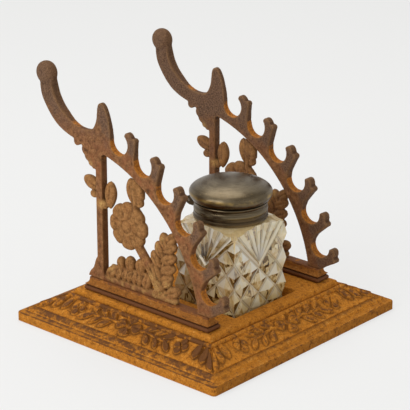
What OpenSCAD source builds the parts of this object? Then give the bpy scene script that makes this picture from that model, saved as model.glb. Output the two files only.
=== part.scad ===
// Desk inkstand: a cast-iron stand with two openwork pen racks and a pressed-glass
// ink well under a hinged brass lid. Pens lie across the two racks. +X is to the
// right, +Y to the back, +Z up, and the origin is under the middle of the whole
// inkstand, so the stand lies a little in front of it and the racks overhang the back.

/* [Stand] */
// Width of the stand, left to right
stand_w = 158; // [156:1:180]
// Depth of the stand, front to back
stand_d = 152; // [150:1:180]
// Height of the upright outer edge
edge_h = 5.5; // [4:0.5:7]
// Height of the flat tray above the table
tray_h = 19; // [18:0.5:26]
// Width of the sloped border on every side
border_w = 25; // [22:0.5:26]
// Width of the flat band along the outer edge
band_w = 3.5; // [2.5:0.5:5]
// Radius of the roll moulding above the slope
roll_r = 1.5; // [1.2:0.1:1.8]
// Height of the leaves and flowers on the slope
relief_h = 1; // [0.5:0.1:1.4]
// Wall thickness of the casting
wall = 3.5; // [2.5:0.5:4]
// Radius of the stand's four corners
corner_r = 2; // [1:0.5:5]

/* [Well pan] */
// Inside width of the square pan that the glass well stands in
pan_w = 53; // [48:0.5:55]
// Depth of the pan below the tray
pan_depth = 6; // [4:0.5:8]
// How far the pan's centre lies in front of the stand's centre
pan_fwd = 18; // [14:0.5:22]

/* [Pen racks] */
// How far a rack's middle plane lies in from the edge of the tray
rack_in = 6.5; // [6:0.25:9]
// Thickness of the rack casting
rack_t = 5; // [4:0.5:6]
// Radius of the arc that the pen notches lie on
rack_r = 107; // [103:0.5:110]
// Distance of that arc's centre below the rail's top
arc_drop = 17; // [14:0.5:20]
// Spacing of the pen notches along the arc
notch_pitch = 20.25; // [19:0.25:20.5]
// Radius of a pen notch
notch_r = 6.5; // [5.5:0.25:6.75]
// Width of the curved band between the notches and the openwork
band_t = 8.5; // [7:0.5:10]
// Width of the upright post
post_w = 4.8; // [4:0.2:7]
// How far the post stands behind the stand's centre
post_aft = 36.5; // [34:0.5:40]
// How far the knob on the rear arm lies behind the post
arm_reach = 41.8; // [40:0.2:44]
// How far that knob lies above the head of the post
arm_rise = 37.3; // [36:0.1:39]
// Radius of the knob on the rear arm
knob_r = 6.8; // [5:0.2:8]
// Thickness of that knob
knob_t = 8.5; // [5:0.5:9]

/* [Rack ornament] */
// Side of one square of the grid that the racks' curved outlines are drawn on
grid = 1; // [0.97:0.01:1.03]
// Radius of the rosette
rose_r = 14.9; // [13:0.1:15.5]
// Petals of the rosette
petals = 8; // [6:1:10]
// Thickness of the leaves and petals
leaf_t = 3.8; // [3:0.2:5]
// Thickness of the stems
stem_t = 3.4; // [2.4:0.2:4]
// Thickness through the rosette's middle
eye_t = 5.2; // [4.6:0.2:7]

/* [Rack rails] */
// Length of a rail
rail_len = 95; // [93:1:98]
// How far the rails' middle lies in front of the stand's centre
rail_fwd = 0.5; // [0:0.5:2]
// Width of a rail at its foot
rail_w = 10.9; // [10:0.1:12]
// Height of a rail
rail_h = 8; // [7:0.5:10]
// Width of a rail's top
rail_top_w = 6.2; // [6:0.2:8]
// Radius of the torus along a rail's foot
torus_r = 1.5; // [1.2:0.1:1.8]
// Height of the fillet along a rail's top
fillet_h = 1.2; // [0.8:0.1:1.6]

/* [Rack screws] */
// Radius of the screw shank
screw_r = 2; // [1.5:0.25:2.25]
// Radius of the screw head
screw_head_r = 3.5; // [3:0.25:4.5]
// Height of the screw head
screw_head_h = 2.2; // [1.5:0.1:3]
// How far a screw reaches into its rail
screw_bite = 5.5; // [4:0.5:6]
// Distance of each screw from the middle of its rail
screw_y = 32; // [26:1:38]
// Clearance round the shank in the stand
screw_gap = 0.3; // [0.2:0.1:0.6]

/* [Glass well] */
// Width of the square glass well
well_w = 45; // [40:0.5:46]
// Height of the well to the edge of its shoulder at the corners
well_side_h = 48; // [44:0.5:52]
// Rise of the shoulder from the corners to the neck
shoulder_rise = 5; // [4:0.5:8]
// Height of the neck above the shoulder
neck_h = 3.4; // [2.5:0.1:5]
// Outside radius of the neck
neck_r = 18; // [16:0.25:18.25]
// Radius of the ink cavity
ink_r = 14.5; // [12:0.25:15]
// Thickness of the glass floor
glass_floor = 9; // [6:0.5:14]
// Width cut off each upright corner
well_chamfer = 1.6; // [1:0.1:2.5]
// Diamonds across each face
diamonds = 3; // [2:1:4]
// Depth of the cut between two diamonds
cut_depth = 1.5; // [0.6:0.1:1.8]
// Height of the fan's root above the well's foot
fan_z = 30; // [26:0.5:34]
// Rays of the fan
fan_rays = 7; // [5:1:9]
// Angle that the fan spreads over
fan_spread = 102; // [90:2:140]

/* [Collar and lid] */
// Outside radius of the brass collar
collar_r = 21; // [19.8:0.1:22]
// Height of the collar
collar_h = 4.4; // [4:0.1:6]
// Wall of the collar
collar_wall = 1.2; // [1:0.1:1.6]
// Width of the lip that covers the glass rim
lip_w = 3.2; // [2:0.1:4]
// Seam between the collar and the closed lid
seam = 0.2; // [0.1:0.05:0.3]
// Height of the lid's coved rim
rim_h = 5.2; // [4:0.1:7]
// Largest radius of the domed lid
dome_r = 23.5; // [22:0.1:25]
// Height from the rim to the lid's widest line
bulge_h = 4.6; // [3:0.1:6]
// Height from the widest line to the crown
crown_h = 7.6; // [6:0.1:12]
// Thickness of the spun brass
brass_t = 1; // [0.8:0.1:1.4]

/* [Lid hinge] */
// Outside radius of the knuckles
knuckle_r = 2.4; // [1.6:0.1:2.6]
// Radius of the hinge pin
pin_r = 0.8; // [0.6:0.05:1]
// Running clearance round the pin
pin_gap = 0.05; // [0.02:0.01:0.08]
// Length of the middle knuckle on the lid
mid_knuckle = 5; // [4:0.5:7]
// Length of each outer knuckle on the collar
side_knuckle = 4; // [3:0.5:5]
// Gap between two knuckles
knuckle_gap = 0.15; // [0.1:0.05:0.3]
// Clear distance from the collar to the knuckles
hinge_off = 2.6; // [0.4:0.1:3]
// Thickness of the hinge leaves
leaf_plate = 2.6; // [2:0.1:3]

/* [Hidden] */
$fn = 64;

iron = [0.42, 0.30, 0.20];
rust = [0.66, 0.42, 0.16];
glass = [0.86, 0.85, 0.76];
plaster = [0.85, 0.82, 0.74];
brass = [0.50, 0.45, 0.30];
dark_brass = [0.28, 0.25, 0.20];
steel = [0.45, 0.43, 0.40];

// Stand
stand_y = (stand_d / 2 - post_aft - arm_reach - knob_r) / 2;
deck_z = tray_h - wall;
band_rise = 0.5;
band_step = 1;
roll_d = border_w - 3.2;
roll_z = tray_h - 4.2;
round_edge = 0.8;
slack = 0.01;
slope_out = [band_w + 0.4, edge_h + band_rise + band_step];
slope_in = [roll_d + roll_r * cos(200), roll_z + roll_r * sin(200)];
slope_rise = (slope_in[1] - slope_out[1]) / (slope_in[0] - slope_out[0]);
fillet_w = 3.3;
fillet_rise = 0.4;
vine_d = 15.6;
pattern_mid = [-0.85, 0, 0, -1.2];

// Racks
rack_x = stand_w / 2 - border_w - rack_in;
rail_y = stand_y - rail_fwd;
post_y = stand_y + post_aft;
rail_top_z = tray_h + rail_h;
foot_y = rail_y - rail_len / 2 + rail_w / 2;
notch_floor = 5;
band_in = rack_r - notch_r - notch_floor;
band_out = band_in + band_t;
arc_y = foot_y + sqrt(pow(band_in + band_t / 2, 2) - pow(arc_drop, 2));
pitch_deg = notch_pitch / rack_r * 180 / PI;
first_notch = 109;
notches = 6;
post_front = post_y - post_w / 2;
post_back = post_y + post_w / 2;
joint_z = sqrt(pow(band_in, 2) - pow(arc_y - post_y, 2)) - arc_drop;
rose = grid * [-18.5, 37.8];

// Well, collar and lid
pan_floor = tray_h - pan_depth;
well_y = stand_y - pan_fwd;
shoulder_z = pan_floor + well_side_h;
collar_z = shoulder_z + shoulder_rise;
neck_top = collar_z + neck_h;
collar_top = collar_z + collar_h;
cement_in = neck_r;
cement_out = collar_r - collar_wall;
rim_z = collar_top + seam;
dome_z = rim_z + rim_h;
widest_z = dome_z + bulge_h;
crown_z = widest_z + crown_h;
hinge_y = well_y + collar_r + hinge_off + knuckle_r;
hinge_z = collar_top + seam / 2;
side_x = mid_knuckle / 2 + knuckle_gap + side_knuckle / 2;

// Points along a circle's arc, from angle a to angle b
function arc(x, y, r, a, b, n = 8) =
    [for (i = [0 : n]) let (t = a + (b - a) * i / n) [x + r * cos(t), y + r * sin(t)]];

// A smooth line through the given points
function smooth(p, n = 4) =
    let (last = len(p) - 1)
    concat([for (i = [0 : last - 1], k = [0 : n - 1])
        let (a = p[max(i - 1, 0)], b = p[i], c = p[i + 1], d = p[min(i + 2, last)], t = k / n)
        b + t / 2 * (c - a) + t * t * (a - 2.5 * b + 2 * c - d / 2)
          + t * t * t * (1.5 * (b - c) + (d - a) / 2)], [p[last]]);

function polar(r, a) = [arc_y + r * cos(a), r * sin(a) - arc_drop];

// A point of the border's section, d in from the outer edge and up above the slope
function on_slope(d, up) = [d, slope_out[1] + (d - slope_out[0]) * slope_rise + up];

// Cross-section of the border: distance in from the outer edge, and height
module border_section() {
    polygon(concat(
        [[0, 0], [0, edge_h - round_edge], [round_edge, edge_h],
         [band_w, edge_h + band_rise], slope_out, on_slope(slope_out[0] + 0.4, fillet_rise),
         on_slope(slope_out[0] + fillet_w - 0.5, fillet_rise), on_slope(slope_out[0] + fillet_w, 0)],
        arc(roll_d, roll_z, roll_r, 200, 20, 10),
        [[border_w - 1.5, tray_h - 2.6], [border_w - 1.1, tray_h - 1], [border_w - 0.3, tray_h],
         [border_w, tray_h], [border_w, deck_z], [border_w - wall, deck_z - wall],
         [wall + band_w, edge_h - 0.6], [wall, edge_h - wall], [wall, 0]]));
}

// One side of the border, length l at distance d from the centre, mitred at both ends
module border_side(l, d) {
    intersection() {
        translate([-l / 2, -d, 0]) rotate([90, 0, 90]) linear_extrude(l) border_section();
        linear_extrude(tray_h + roll_r)
            polygon([[-l / 2, -d], [l / 2, -d], [l / 2 - border_w - slack, slack - d + border_w],
                     [border_w + slack - l / 2, slack - d + border_w]]);
    }
}

// A leaf cast on the border, narrow at its root p and full towards its tip q
module border_leaf(p, q, w) {
    l = norm(q - p);
    half = [[l * 0.3, w * 0.34], [l * 0.62, w * 0.5], [l * 0.88, w * 0.38]];
    translate(p) rotate(atan2(q[1] - p[1], q[0] - p[0]))
        polygon(concat([[0, 0]], half, [[l, 0]], [for (i = [2 : -1 : 0]) [half[i][0], -half[i][1]]]));
}

module both_hands() {
    children();
    mirror([1, 0]) children();
}

// Flowers and leaves of a side of length l, drawn from its outer edge inwards
module border_pattern(l, mid) {
    leaves = [[10.9, 15.9, 18.2, 22.2, 3.7], [18.6, 15.8, 24.9, 22.3, 3.7], [25.4, 15.8, 31.4, 22, 3.7],
              [12.8, 15.2, 19, 9.2, 3.6], [20.6, 15.2, 25.6, 9, 3], [26.6, 15.2, 34.2, 9.8, 3.2]];
    corner_lobes = [[27.9, 24.4, 25.6, 11.4, 4.3], [23.2, 22, 18.6, 10.4, 4.4],
                    [20.2, 18.6, 10.4, 8.3, 2.4]];
    translate([mid, 0]) both_hands() {
        for (b = leaves) border_leaf([b[0], b[1]], [b[2], b[3]], b[4]);
        twig([9, vine_d], [28, vine_d], 1.5, 1.2);
        for (a = [0 : 90 : 270]) translate([39.3, vine_d]) rotate(a) border_leaf([0.3, 0], [4.6, 0], 4);
        translate([0, vine_d]) border_leaf([1, 0], [8.7, 0], 6.2);
    }
    for (a = [90, 270]) translate([mid, vine_d]) rotate(a) border_leaf([0.6, 0], [6.9, 0], 6.8);
    both_hands() translate([-l / 2, 0])
        for (b = corner_lobes) border_leaf([b[0], b[1]], [b[2], b[3]], b[4]);
}

// The pattern of one side, raised evenly above the slope
module border_relief(l, d, mid) {
    low = slope_out[0] + fillet_w + 0.1;
    high = slope_in[0] - 0.1;
    translate([0, -d, 0]) intersection() {
        translate([-l / 2, 0, 0]) rotate([90, 0, 90]) linear_extrude(l)
            polygon([on_slope(low, -1), on_slope(high, -1), on_slope(high, relief_h), on_slope(low, relief_h)]);
        linear_extrude(tray_h) border_pattern(l, mid);
    }
}

module round_corners(w, d, r) {
    for (x = [-1, 1], y = [-1, 1])
        translate([x * (w / 2 - r), y * (d / 2 - r), 0]) circle(r);
    square([w - 2 * r, d], center = true);
    square([w, d - 2 * r], center = true);
}

module stand() {
    color(rust) difference() {
        union() {
            translate([0, stand_y, 0]) intersection() {
                union() {
                    for (a = [0, 180]) rotate(a) border_side(stand_w, stand_d / 2);
                    for (a = [90, 270]) rotate(a) border_side(stand_d, stand_w / 2);
                }
                linear_extrude(tray_h + roll_r) round_corners(stand_w, stand_d, corner_r);
            }
            translate([0, stand_y, 0]) for (i = [0 : 3]) rotate(i * 90) {
                if (i % 2 == 0) border_relief(stand_w, stand_d / 2, pattern_mid[i]);
                else border_relief(stand_d, stand_w / 2, pattern_mid[i]);
            }
            translate([0, stand_y, deck_z]) linear_extrude(wall)
                square([stand_w - 2 * border_w + slack, stand_d - 2 * border_w + slack], center = true);
            translate([0, well_y, pan_floor - wall]) linear_extrude(pan_depth)
                square(pan_w + 2 * wall, center = true);
        }
        translate([0, well_y, pan_floor]) linear_extrude(pan_depth + 1)
            square(pan_w, center = true);
        at_screws() translate([0, 0, deck_z - 1]) cylinder(r = screw_r + screw_gap, h = wall + 2);
    }
}

module at_screws() {
    for (x = [-rack_x, rack_x], y = [-screw_y, screw_y]) translate([x, rail_y + y, 0]) children();
}

// Screws come up through the deck and into the rails
module rack_screws() {
    color(steel) at_screws() {
        translate([0, 0, deck_z]) cylinder(r = screw_r, h = wall + screw_bite);
        difference() {
            translate([0, 0, deck_z - screw_head_h]) cylinder(r = screw_head_r, h = screw_head_h);
            translate([-screw_head_r - 1, -0.4, deck_z - screw_head_h - 1])
                cube([2 * screw_head_r + 2, 0.8, 1.9]);
        }
    }
}

// The rail's section: torus below, cove above, fillet on top
module rail_section() {
    foot = rail_w / 2;
    top = rail_top_w / 2;
    side = concat(arc(foot - torus_r, torus_r, torus_r, -90, 80, 8),
                  arc(foot + 0.5, rail_h - fillet_h - 0.3, foot - top + 0.4, 250, 182, 6),
                  [[top, rail_h - fillet_h], [top, rail_h]]);
    polygon(concat(side, [for (i = [len(side) - 1 : -1 : 0]) [-side[i][0], side[i][1]]]));
}

// The mouldings return round both ends of the rail
module rail(x) {
    color(rust) difference() {
        translate([x, rail_y, tray_h]) intersection() {
            translate([0, rail_len / 2, 0]) rotate([90, 0, 0]) linear_extrude(rail_len) rail_section();
            translate([-rail_w, 0, 0]) rotate([90, 0, 90]) linear_extrude(2 * rail_w) {
                for (e = [-1, 1]) translate([e * (rail_len - rail_w) / 2, 0]) rail_section();
                translate([(rail_w - rail_len) / 2, 0]) square([rail_len - rail_w, rail_h]);
            }
        }
        at_screws() translate([0, 0, tray_h - 1]) cylinder(r = screw_r, h = screw_bite + 1.2);
    }
}

// The T-shaped hook between two notches, drawn on its own radius of the arc
module hook(a) {
    translate(polar(rack_r, a)) rotate(a - 90) mirror([1, 0]) scale(grid) {
        translate([-6.5, 7]) circle(2.3);
        translate([-1.6, 7.3]) circle(1.6);
        polygon([[-6.8, 9.25], [-4.7, 9], [-3.5, 8.1], [-1.6, 8.6], [0, 7.3], [0.5, 5.6], [1.6, 2.4],
                 [3, -1.5], [5.6, -6], [-5.6, -6], [-4.6, 0], [-6, 4.75]]);
    }
}

// Rear arm, saddle and horn, measured from the head of the post
module rear_arm() {
    head = [post_y, joint_z];
    under = [[45.2, 32.5], [44.2, 25.7], [42, 20.7], [38.5, 15.3], [34.3, 10.6], [29.6, 7.3],
             [24, 4.9], [17.5, 2.9], [9.5, -0.8]];
    over = [[-9, 1.5], [-9, 9.5], [-8.3, 15.5], [-6.6, 22], [-4.2, 26.6], [-1.6, 28.2], [0.6, 26.6],
            [1.4, 23], [1.8, 19], [2.8, 15.4], [5, 12], [9.5, 10.5], [15.5, 10.9], [21.6, 13.4],
            [26.8, 17.4], [31, 21.6], [34, 26.6], [35.8, 32.5]];
    scallops = [[17, 2.4, 2.5], [9.4, -0.8, 3.6], [8, -4.4, 2.8], [5.4, -7.4, 2.6], [3.6, -9.4, 1.6]];
    translate(head) polygon(concat(grid * smooth(under, 3), [[post_w / 2, -4], [-post_w / 2, -2]],
                                   grid * smooth(over, 3)));
    translate(head) scale(grid) {
        for (s = scallops) translate([s[0], s[1]]) circle(s[2]);
        polygon([[0, 0], [9.4, -0.8], [8, -4.4], [5.4, -7.4], [3.6, -9.4], [0, -9.4]]);
    }
}

module rack_outline() {
    difference() {
        intersection() {
            union() {
                polygon(concat(arc(arc_y, -arc_drop, band_out, 100, 174, 48),
                               arc(arc_y, -arc_drop, band_in, 174, 100, 48)));
                for (i = [0 : notches - 1]) hook(first_notch + (i + 0.5) * pitch_deg);
                rear_arm();
                translate([post_front, 0]) square([post_w, joint_z]);
                post_foot();
                front_foot();
            }
            translate([-rack_r, 0]) square(2 * rack_r);
        }
        for (i = [0 : notches - 1]) translate(polar(rack_r, first_notch + i * pitch_deg)) circle(notch_r);
    }
}

// The post spreads to the back where it meets the rail
module post_foot() {
    translate([post_back, 0]) scale(grid)
        polygon(concat(smooth([[0, 13.2], [1.3, 11.3], [3.1, 6.3], [5.7, 3.4], [7.4, 0]], 4),
                       [[-3, 0], [-3, 13.2]]));
}

module front_foot() {
    translate([foot_y, 0]) scale(grid)
        polygon([[5, 0], [4.2, 9], [-2.6, 9], [-3.4, 5.5], [-5, 2.4], [-5.4, 0]]);
}

module plate(x, t) {
    translate([x - t / 2, 0, rail_top_z]) rotate([90, 0, 90]) linear_extrude(t) children();
}

module rack(x) {
    color(iron) {
        plate(x, rack_t) rack_outline();
        translate([x, post_y + arm_reach, rail_top_z + joint_z + arm_rise]) rotate([0, 90, 0])
            rotate_extrude() polygon(concat([[0, -knob_t / 2]],
                arc(knob_r - knob_t / 2, 0, knob_t / 2, -90, 90, 10), [[0, knob_t / 2]]));
    }
}

// A pointed leaf between two points
module leaf(p, q, w) {
    l = norm(q - p);
    r = (l * l + w * w) / (4 * w);
    translate((p + q) / 2) rotate(atan2(q[1] - p[1], q[0] - p[0]))
        intersection() {
            translate([0, w / 2 - r]) circle(r);
            translate([0, r - w / 2]) circle(r);
        }
}

module twig(p, q, w, v) {
    n = [p[1] - q[1], q[0] - p[0]] / norm(q - p) / 2;
    polygon([p + n * w, q + n * v, q - n * v, p - n * w]);
}

// Leaves and stems of the spray, measured from the foot of the post's front face
module spray_leaves() {
    // Leaves at the waist of the post
    leaf([4.5, 52], [14.8, 60.2], 8);
    leaf([-4.8, 44], [-6.8, 61.6], 7.8);
    leaf([1, 43.5], [-7.5, 48.6], 4.6);
    leaf([3, 52.4], [9.6, 49.8], 5);
    // Bud between the rosette and the band
    leaf([-24.6, 49.5], [-24.2, 70.5], 11.6);
    for (s = [[-27.8, 61.2], [-28.6, 57.5], [-28, 54]]) translate(s) circle(2.6);
    // Frond to the back
    leaf([-13, 9.5], [1.5, 6.2], 8);
    for (s = [[-14, 13.8, 3.6], [-20.7, 15.3, 4.1], [-27.3, 15.6, 4], [-15.6, 7.2, 4.2],
              [-22, 7.4, 3.8], [-27.2, 8.2, 3.7], [-33, 8, 4.6]]) translate([s[0], s[1]]) circle(s[2]);
    // Frond to the front
    for (s = [[-42.5, 12.2, -50.4, 16.4], [-42.5, 17.6, -51.8, 21.2], [-41.6, 23.4, -52.2, 25.8],
              [-42, 29.2, -53, 30.8], [-45.4, 35, -54.4, 35.8], [-38.6, 22, -44.8, 30.4],
              [-41.4, 28.6, -47.8, 35.6], [-44.6, 33.4, -51, 41]])
        leaf([s[0], s[1]], [s[2], s[3]], 6.4);
    // Volute at the foot
    translate([-52, 5]) circle(5);
}

module spray_stems() {
    twig([-18.5, 37.8], [-48, 4], 6.5, 5.5);
    twig([-38, 12], [-8, 9], 6, 4);
    twig([-45, 10], [-53.2, 41], 7, 5);
    twig([-25, 48], [-24.8, 66], 5, 4);
    translate([-53, 0]) square([11, 4]);
}

module spray_outline() {
    difference() {
        translate([post_front, 0]) children();
        rack_outline();
    }
}

module spray(x) {
    color(iron) {
        plate(x, stem_t) spray_outline() scale(grid) spray_stems();
        plate(x, leaf_t) spray_outline() scale(grid) spray_leaves();
        plate(x, leaf_t) spray_outline() translate(rose)
            for (i = [0 : petals - 1]) rotate(i * 360 / petals)
                translate([rose_r * 0.66, 0]) circle(rose_r * 0.34);
        plate(x, leaf_t) spray_outline() translate(rose) circle(rose_r * 0.7);
        plate(x, eye_t) spray_outline() translate(rose) circle(rose_r * 0.36);
    }
}

// The well's smooth shoulder is turned, and its sides are square
module well_blank() {
    half_diag = well_w / sqrt(2);
    intersection() {
        translate([0, 0, pan_floor]) linear_extrude(well_side_h + shoulder_rise) difference() {
            square(well_w, center = true);
            for (a = [45 : 90 : 315]) rotate(a) translate([half_diag - well_chamfer * 0.7, -5])
                square([10, 10]);
        }
        rotate_extrude() polygon([[0, pan_floor], [half_diag, pan_floor], [half_diag, shoulder_z],
                                  [collar_r, collar_z], [0, collar_z]]);
    }
    translate([0, 0, collar_z]) cylinder(r = neck_r, h = neck_h);
}

// A V-shaped cut of width w and depth d along X, open towards -Y
module vee(l, w, d) {
    translate([-l / 2, 0, 0]) rotate([90, 0, 90]) linear_extrude(l)
        polygon([[-0.2, -w / 2 - 0.2 * w / d], [d, 0], [-0.2, w / 2 + 0.2 * w / d]]);
}

// Crossing cuts leave a pyramid in each diamond
module diamond_cuts() {
    cell = well_w / diamonds;
    gap = cell / sqrt(2);
    rows = 2 * diamonds;
    intersection() {
        for (s = [-1, 1], i = [-rows : rows])
            translate([i * cell, -well_w / 2, pan_floor + 1]) rotate([0, s * 45, 0])
                vee(4 * well_w, gap, cut_depth);
        translate([-well_w, -well_w, pan_floor - 1]) cube([2 * well_w, well_w, fan_z + 1]);
    }
}

module fan_cuts() {
    step = fan_spread / (fan_rays - 1);
    for (i = [0 : fan_rays - 1])
        translate([0, -well_w / 2, pan_floor + fan_z]) rotate([0, fan_spread / 2 - 90 - i * step, 0])
            translate([well_w / 2 + 1.5, 0, 0]) vee(well_w, 2.6, cut_depth * 0.6);
}

module glass_well() {
    color(glass, 0.5) translate([0, well_y, 0]) difference() {
        well_blank();
        for (a = [0 : 90 : 270]) rotate(a) {
            diamond_cuts();
            fan_cuts();
        }
        rotate_extrude() polygon(concat([[0, neck_top + 1], [0, pan_floor + glass_floor]],
            arc(ink_r - 5, pan_floor + glass_floor + 5, 5, 270, 360, 6), [[ink_r, neck_top + 1]]));
    }
}

module turned(profile) {
    translate([0, well_y, 0]) rotate_extrude() polygon(profile);
}

module collar_cement() {
    color(plaster) turned([[cement_in, collar_z], [cement_out, collar_z], [cement_out, neck_top],
                           [cement_in, neck_top]]);
}

module neck_collar() {
    groove_z = collar_z + collar_h * 0.5;
    color(dark_brass) turned([[cement_out, collar_z], [collar_r, collar_z],
        [collar_r, groove_z - 0.5], [collar_r - 0.4, groove_z], [collar_r, groove_z + 0.5],
        [collar_r, collar_top - 0.4], [collar_r - 0.4, collar_top],
        [cement_out - lip_w, collar_top], [cement_out - lip_w, neck_top], [cement_out, neck_top]]);
}

// Coved rim soldered under the dome
module lid_rim() {
    inner = collar_r - collar_wall - 0.8;
    color(brass) turned(concat([[inner, rim_z], [collar_r - 0.3, rim_z], [collar_r, rim_z + 0.4]],
        arc(collar_r + 1.2, rim_z + rim_h * 0.55, 2, 215, 145, 8),
        [[collar_r, dome_z - 0.3], [collar_r - 0.3, dome_z], [inner, dome_z]]));
}

function dome_side(r, low, top) = concat(
    [for (t = [-50 : 10 : 0]) [r * cos(t) * 0.35 + r * 0.65, widest_z + low * sin(t) / sin(50)]],
    [for (t = [6 : 6 : 90]) [r * cos(t), widest_z + top * sin(t)]]);

module lid_dome() {
    outside = dome_side(dome_r, bulge_h, crown_h);
    inside = dome_side(dome_r - brass_t, bulge_h - brass_t * 0.5, crown_h - brass_t);
    foot_in = collar_r - collar_wall - 0.8;
    color(brass) turned(concat([[foot_in, dome_z]], outside,
        [for (i = [len(inside) - 1 : -1 : 0]) inside[i]], [[foot_in, dome_z + brass_t]]));
}

module knuckle(x, l) {
    translate([x - l / 2, hinge_y, hinge_z]) rotate([0, 90, 0]) difference() {
        cylinder(r = knuckle_r, h = l);
        translate([0, 0, -1]) cylinder(r = pin_r + pin_gap, h = l + 2);
    }
}

// The plate between a turned part and a knuckle
module hinge_leaf(x, l, z, h) {
    difference() {
        translate([x - l / 2, well_y + collar_r - 2, z]) cube([l, hinge_y - well_y - collar_r + 2, h]);
        translate([0, well_y, z - 1]) cylinder(r = collar_r, h = h + 2, $fn = 128);
        translate([x - l, hinge_y, hinge_z]) rotate([0, 90, 0]) cylinder(r = pin_r + pin_gap, h = 2 * l);
    }
}

module collar_hinge() {
    color(dark_brass) for (s = [-1, 1]) {
        knuckle(s * side_x, side_knuckle);
        hinge_leaf(s * side_x, side_knuckle, collar_top - leaf_plate, leaf_plate);
    }
}

module lid_hinge() {
    color(brass) {
        knuckle(0, mid_knuckle);
        hinge_leaf(0, mid_knuckle, rim_z, leaf_plate);
    }
}

module hinge_pin() {
    l = mid_knuckle + 2 * (side_knuckle + knuckle_gap);
    color(steel) translate([-l / 2, hinge_y, hinge_z]) rotate([0, 90, 0]) cylinder(r = pin_r, h = l);
}

stand();
rail(-rack_x);  // left_rail
rack(-rack_x);  // left_rack
spray(-rack_x);  // left_spray
rail(rack_x);  // right_rail
rack(rack_x);  // right_rack
spray(rack_x);  // right_spray
rack_screws();
glass_well();
collar_cement();
neck_collar();
collar_hinge();
lid_hinge();
hinge_pin();
lid_rim();
lid_dome();
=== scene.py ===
import math

import bmesh
import bpy
import numpy as np
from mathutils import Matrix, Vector
from mathutils.kdtree import KDTree


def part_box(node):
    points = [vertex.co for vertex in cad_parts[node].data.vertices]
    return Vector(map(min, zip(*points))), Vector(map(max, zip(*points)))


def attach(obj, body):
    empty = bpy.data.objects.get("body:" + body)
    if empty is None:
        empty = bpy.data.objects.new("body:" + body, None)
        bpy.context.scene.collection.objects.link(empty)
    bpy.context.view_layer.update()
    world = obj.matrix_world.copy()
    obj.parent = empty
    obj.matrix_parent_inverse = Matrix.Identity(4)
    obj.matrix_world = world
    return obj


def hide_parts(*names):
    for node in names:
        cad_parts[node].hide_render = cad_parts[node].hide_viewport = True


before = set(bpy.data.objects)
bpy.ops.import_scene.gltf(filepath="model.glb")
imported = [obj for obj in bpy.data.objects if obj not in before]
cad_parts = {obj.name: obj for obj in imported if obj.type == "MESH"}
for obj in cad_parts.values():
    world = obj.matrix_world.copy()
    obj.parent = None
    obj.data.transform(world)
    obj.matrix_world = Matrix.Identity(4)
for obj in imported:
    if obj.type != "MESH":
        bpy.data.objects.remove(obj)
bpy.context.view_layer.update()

# Stand
# A square casting of grey iron, hollow underneath, poured in one piece with the flowers and
# leaves of its sloped border. Ochre rust covers it, and what stands proud is rubbed brown.
mm = 0.001
stand_low, stand_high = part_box("stand")
stand_middle = (stand_low + stand_high) / 2
stand_shift = np.array([0, stand_middle.y / mm, 0])
half_width = (stand_high.x - stand_low.x) / 2 / mm
half_depth = (stand_high.y - stand_low.y) / 2 / mm
tray_height = stand_high.z / mm
edge_height = 5.5
border_width = 25.0
band_width = 3.9
fillet_width = 3.3
wall = 3.5
pan_half = 26.5
pan_forward = 18.0
pan_floor = tray_height - 6.0
corner_round, pan_round = 2.0, 1.2
side_steps, corner_steps = 40, 7
slope_foot, slope_rise = 7.0, 0.442
quarter_turns = ((1, 0), (0, 1), (-1, 0), (0, -1))
# The front, right, back and left side in turn: how rubbed it is, and how much painted shade darkens its lower
# edge.
side_wear = (0.66, 0.75, 0.8, 1.0)
side_shade = (1, 0.5, 0.3, 0)


def colour(red, green, blue):
    """A colour given as it looks on screen, from 0 to 255, in the renderer's linear values."""
    linear = [((c / 255 + 0.055) / 1.055) ** 2.4 for c in (red, green, blue)]
    return (*linear, 1.0)


def put(tree, kind, inputs=(), **settings):
    """Adds a node. Each input is a value or another node's output."""
    node = tree.nodes.new(kind)
    for key, value in settings.items():
        setattr(node, key, value)
    for key, value in dict(inputs).items():
        if isinstance(value, bpy.types.NodeSocket):
            tree.links.new(value, node.inputs[key])
        else:
            node.inputs[key].default_value = value
    return node


def finish_on(name, roughness, metallic=0.0, specular=0.5):
    """A new material, with its node tree and its main shader."""
    material = bpy.data.materials.new(name)
    material.use_nodes = True
    shader = material.node_tree.nodes["Principled BSDF"]
    shader.inputs["Roughness"].default_value = roughness
    shader.inputs["Metallic"].default_value = metallic
    shader.inputs["Specular IOR Level"].default_value = specular
    return material, material.node_tree, shader


def cloud(tree, size, detail=5.0, rough=0.6, stretch=None):
    """Noise whose patches are about size millimetres across, from 0 to 1."""
    place = put(tree, "ShaderNodeTexCoord").outputs["Object"]
    if stretch:
        place = put(tree, "ShaderNodeMapping", {"Vector": place, "Scale": stretch}).outputs[0]
    return put(tree, "ShaderNodeTexNoise",
               {"Vector": place, "Scale": 1 / (size * mm), "Detail": detail, "Roughness": rough}).outputs[0]


def ramp(tree, factor, *stops):
    """Turns a factor into colours, given as (position, colour)."""
    node = put(tree, "ShaderNodeValToRGB", {"Fac": factor})
    band = node.color_ramp.elements
    while len(band) < len(stops):
        band.new(0.5)
    for element, (position, shade) in zip(band, stops):
        element.position = position
        element.color = shade
    return node.outputs[0]


def step(tree, factor, low, high):
    """0 below low, 1 above high, smooth between them."""
    node = put(tree, "ShaderNodeMapRange", {"Value": factor, "From Min": low, "From Max": high},
               interpolation_type="SMOOTHSTEP")
    return node.outputs[0]


def sums(tree, how, a, b):
    """What the operation how makes of a and b."""
    return put(tree, "ShaderNodeMath", {0: a, 1: b}, operation=how).outputs[0]


def blend(tree, factor, a, b, how="MIX"):
    """The colour a where factor is 0 and b where it is 1, or b laid on a in another way."""
    return put(tree, "ShaderNodeMixRGB", {"Fac": factor, "Color1": a, "Color2": b}, blend_type=how).outputs[0]


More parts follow.
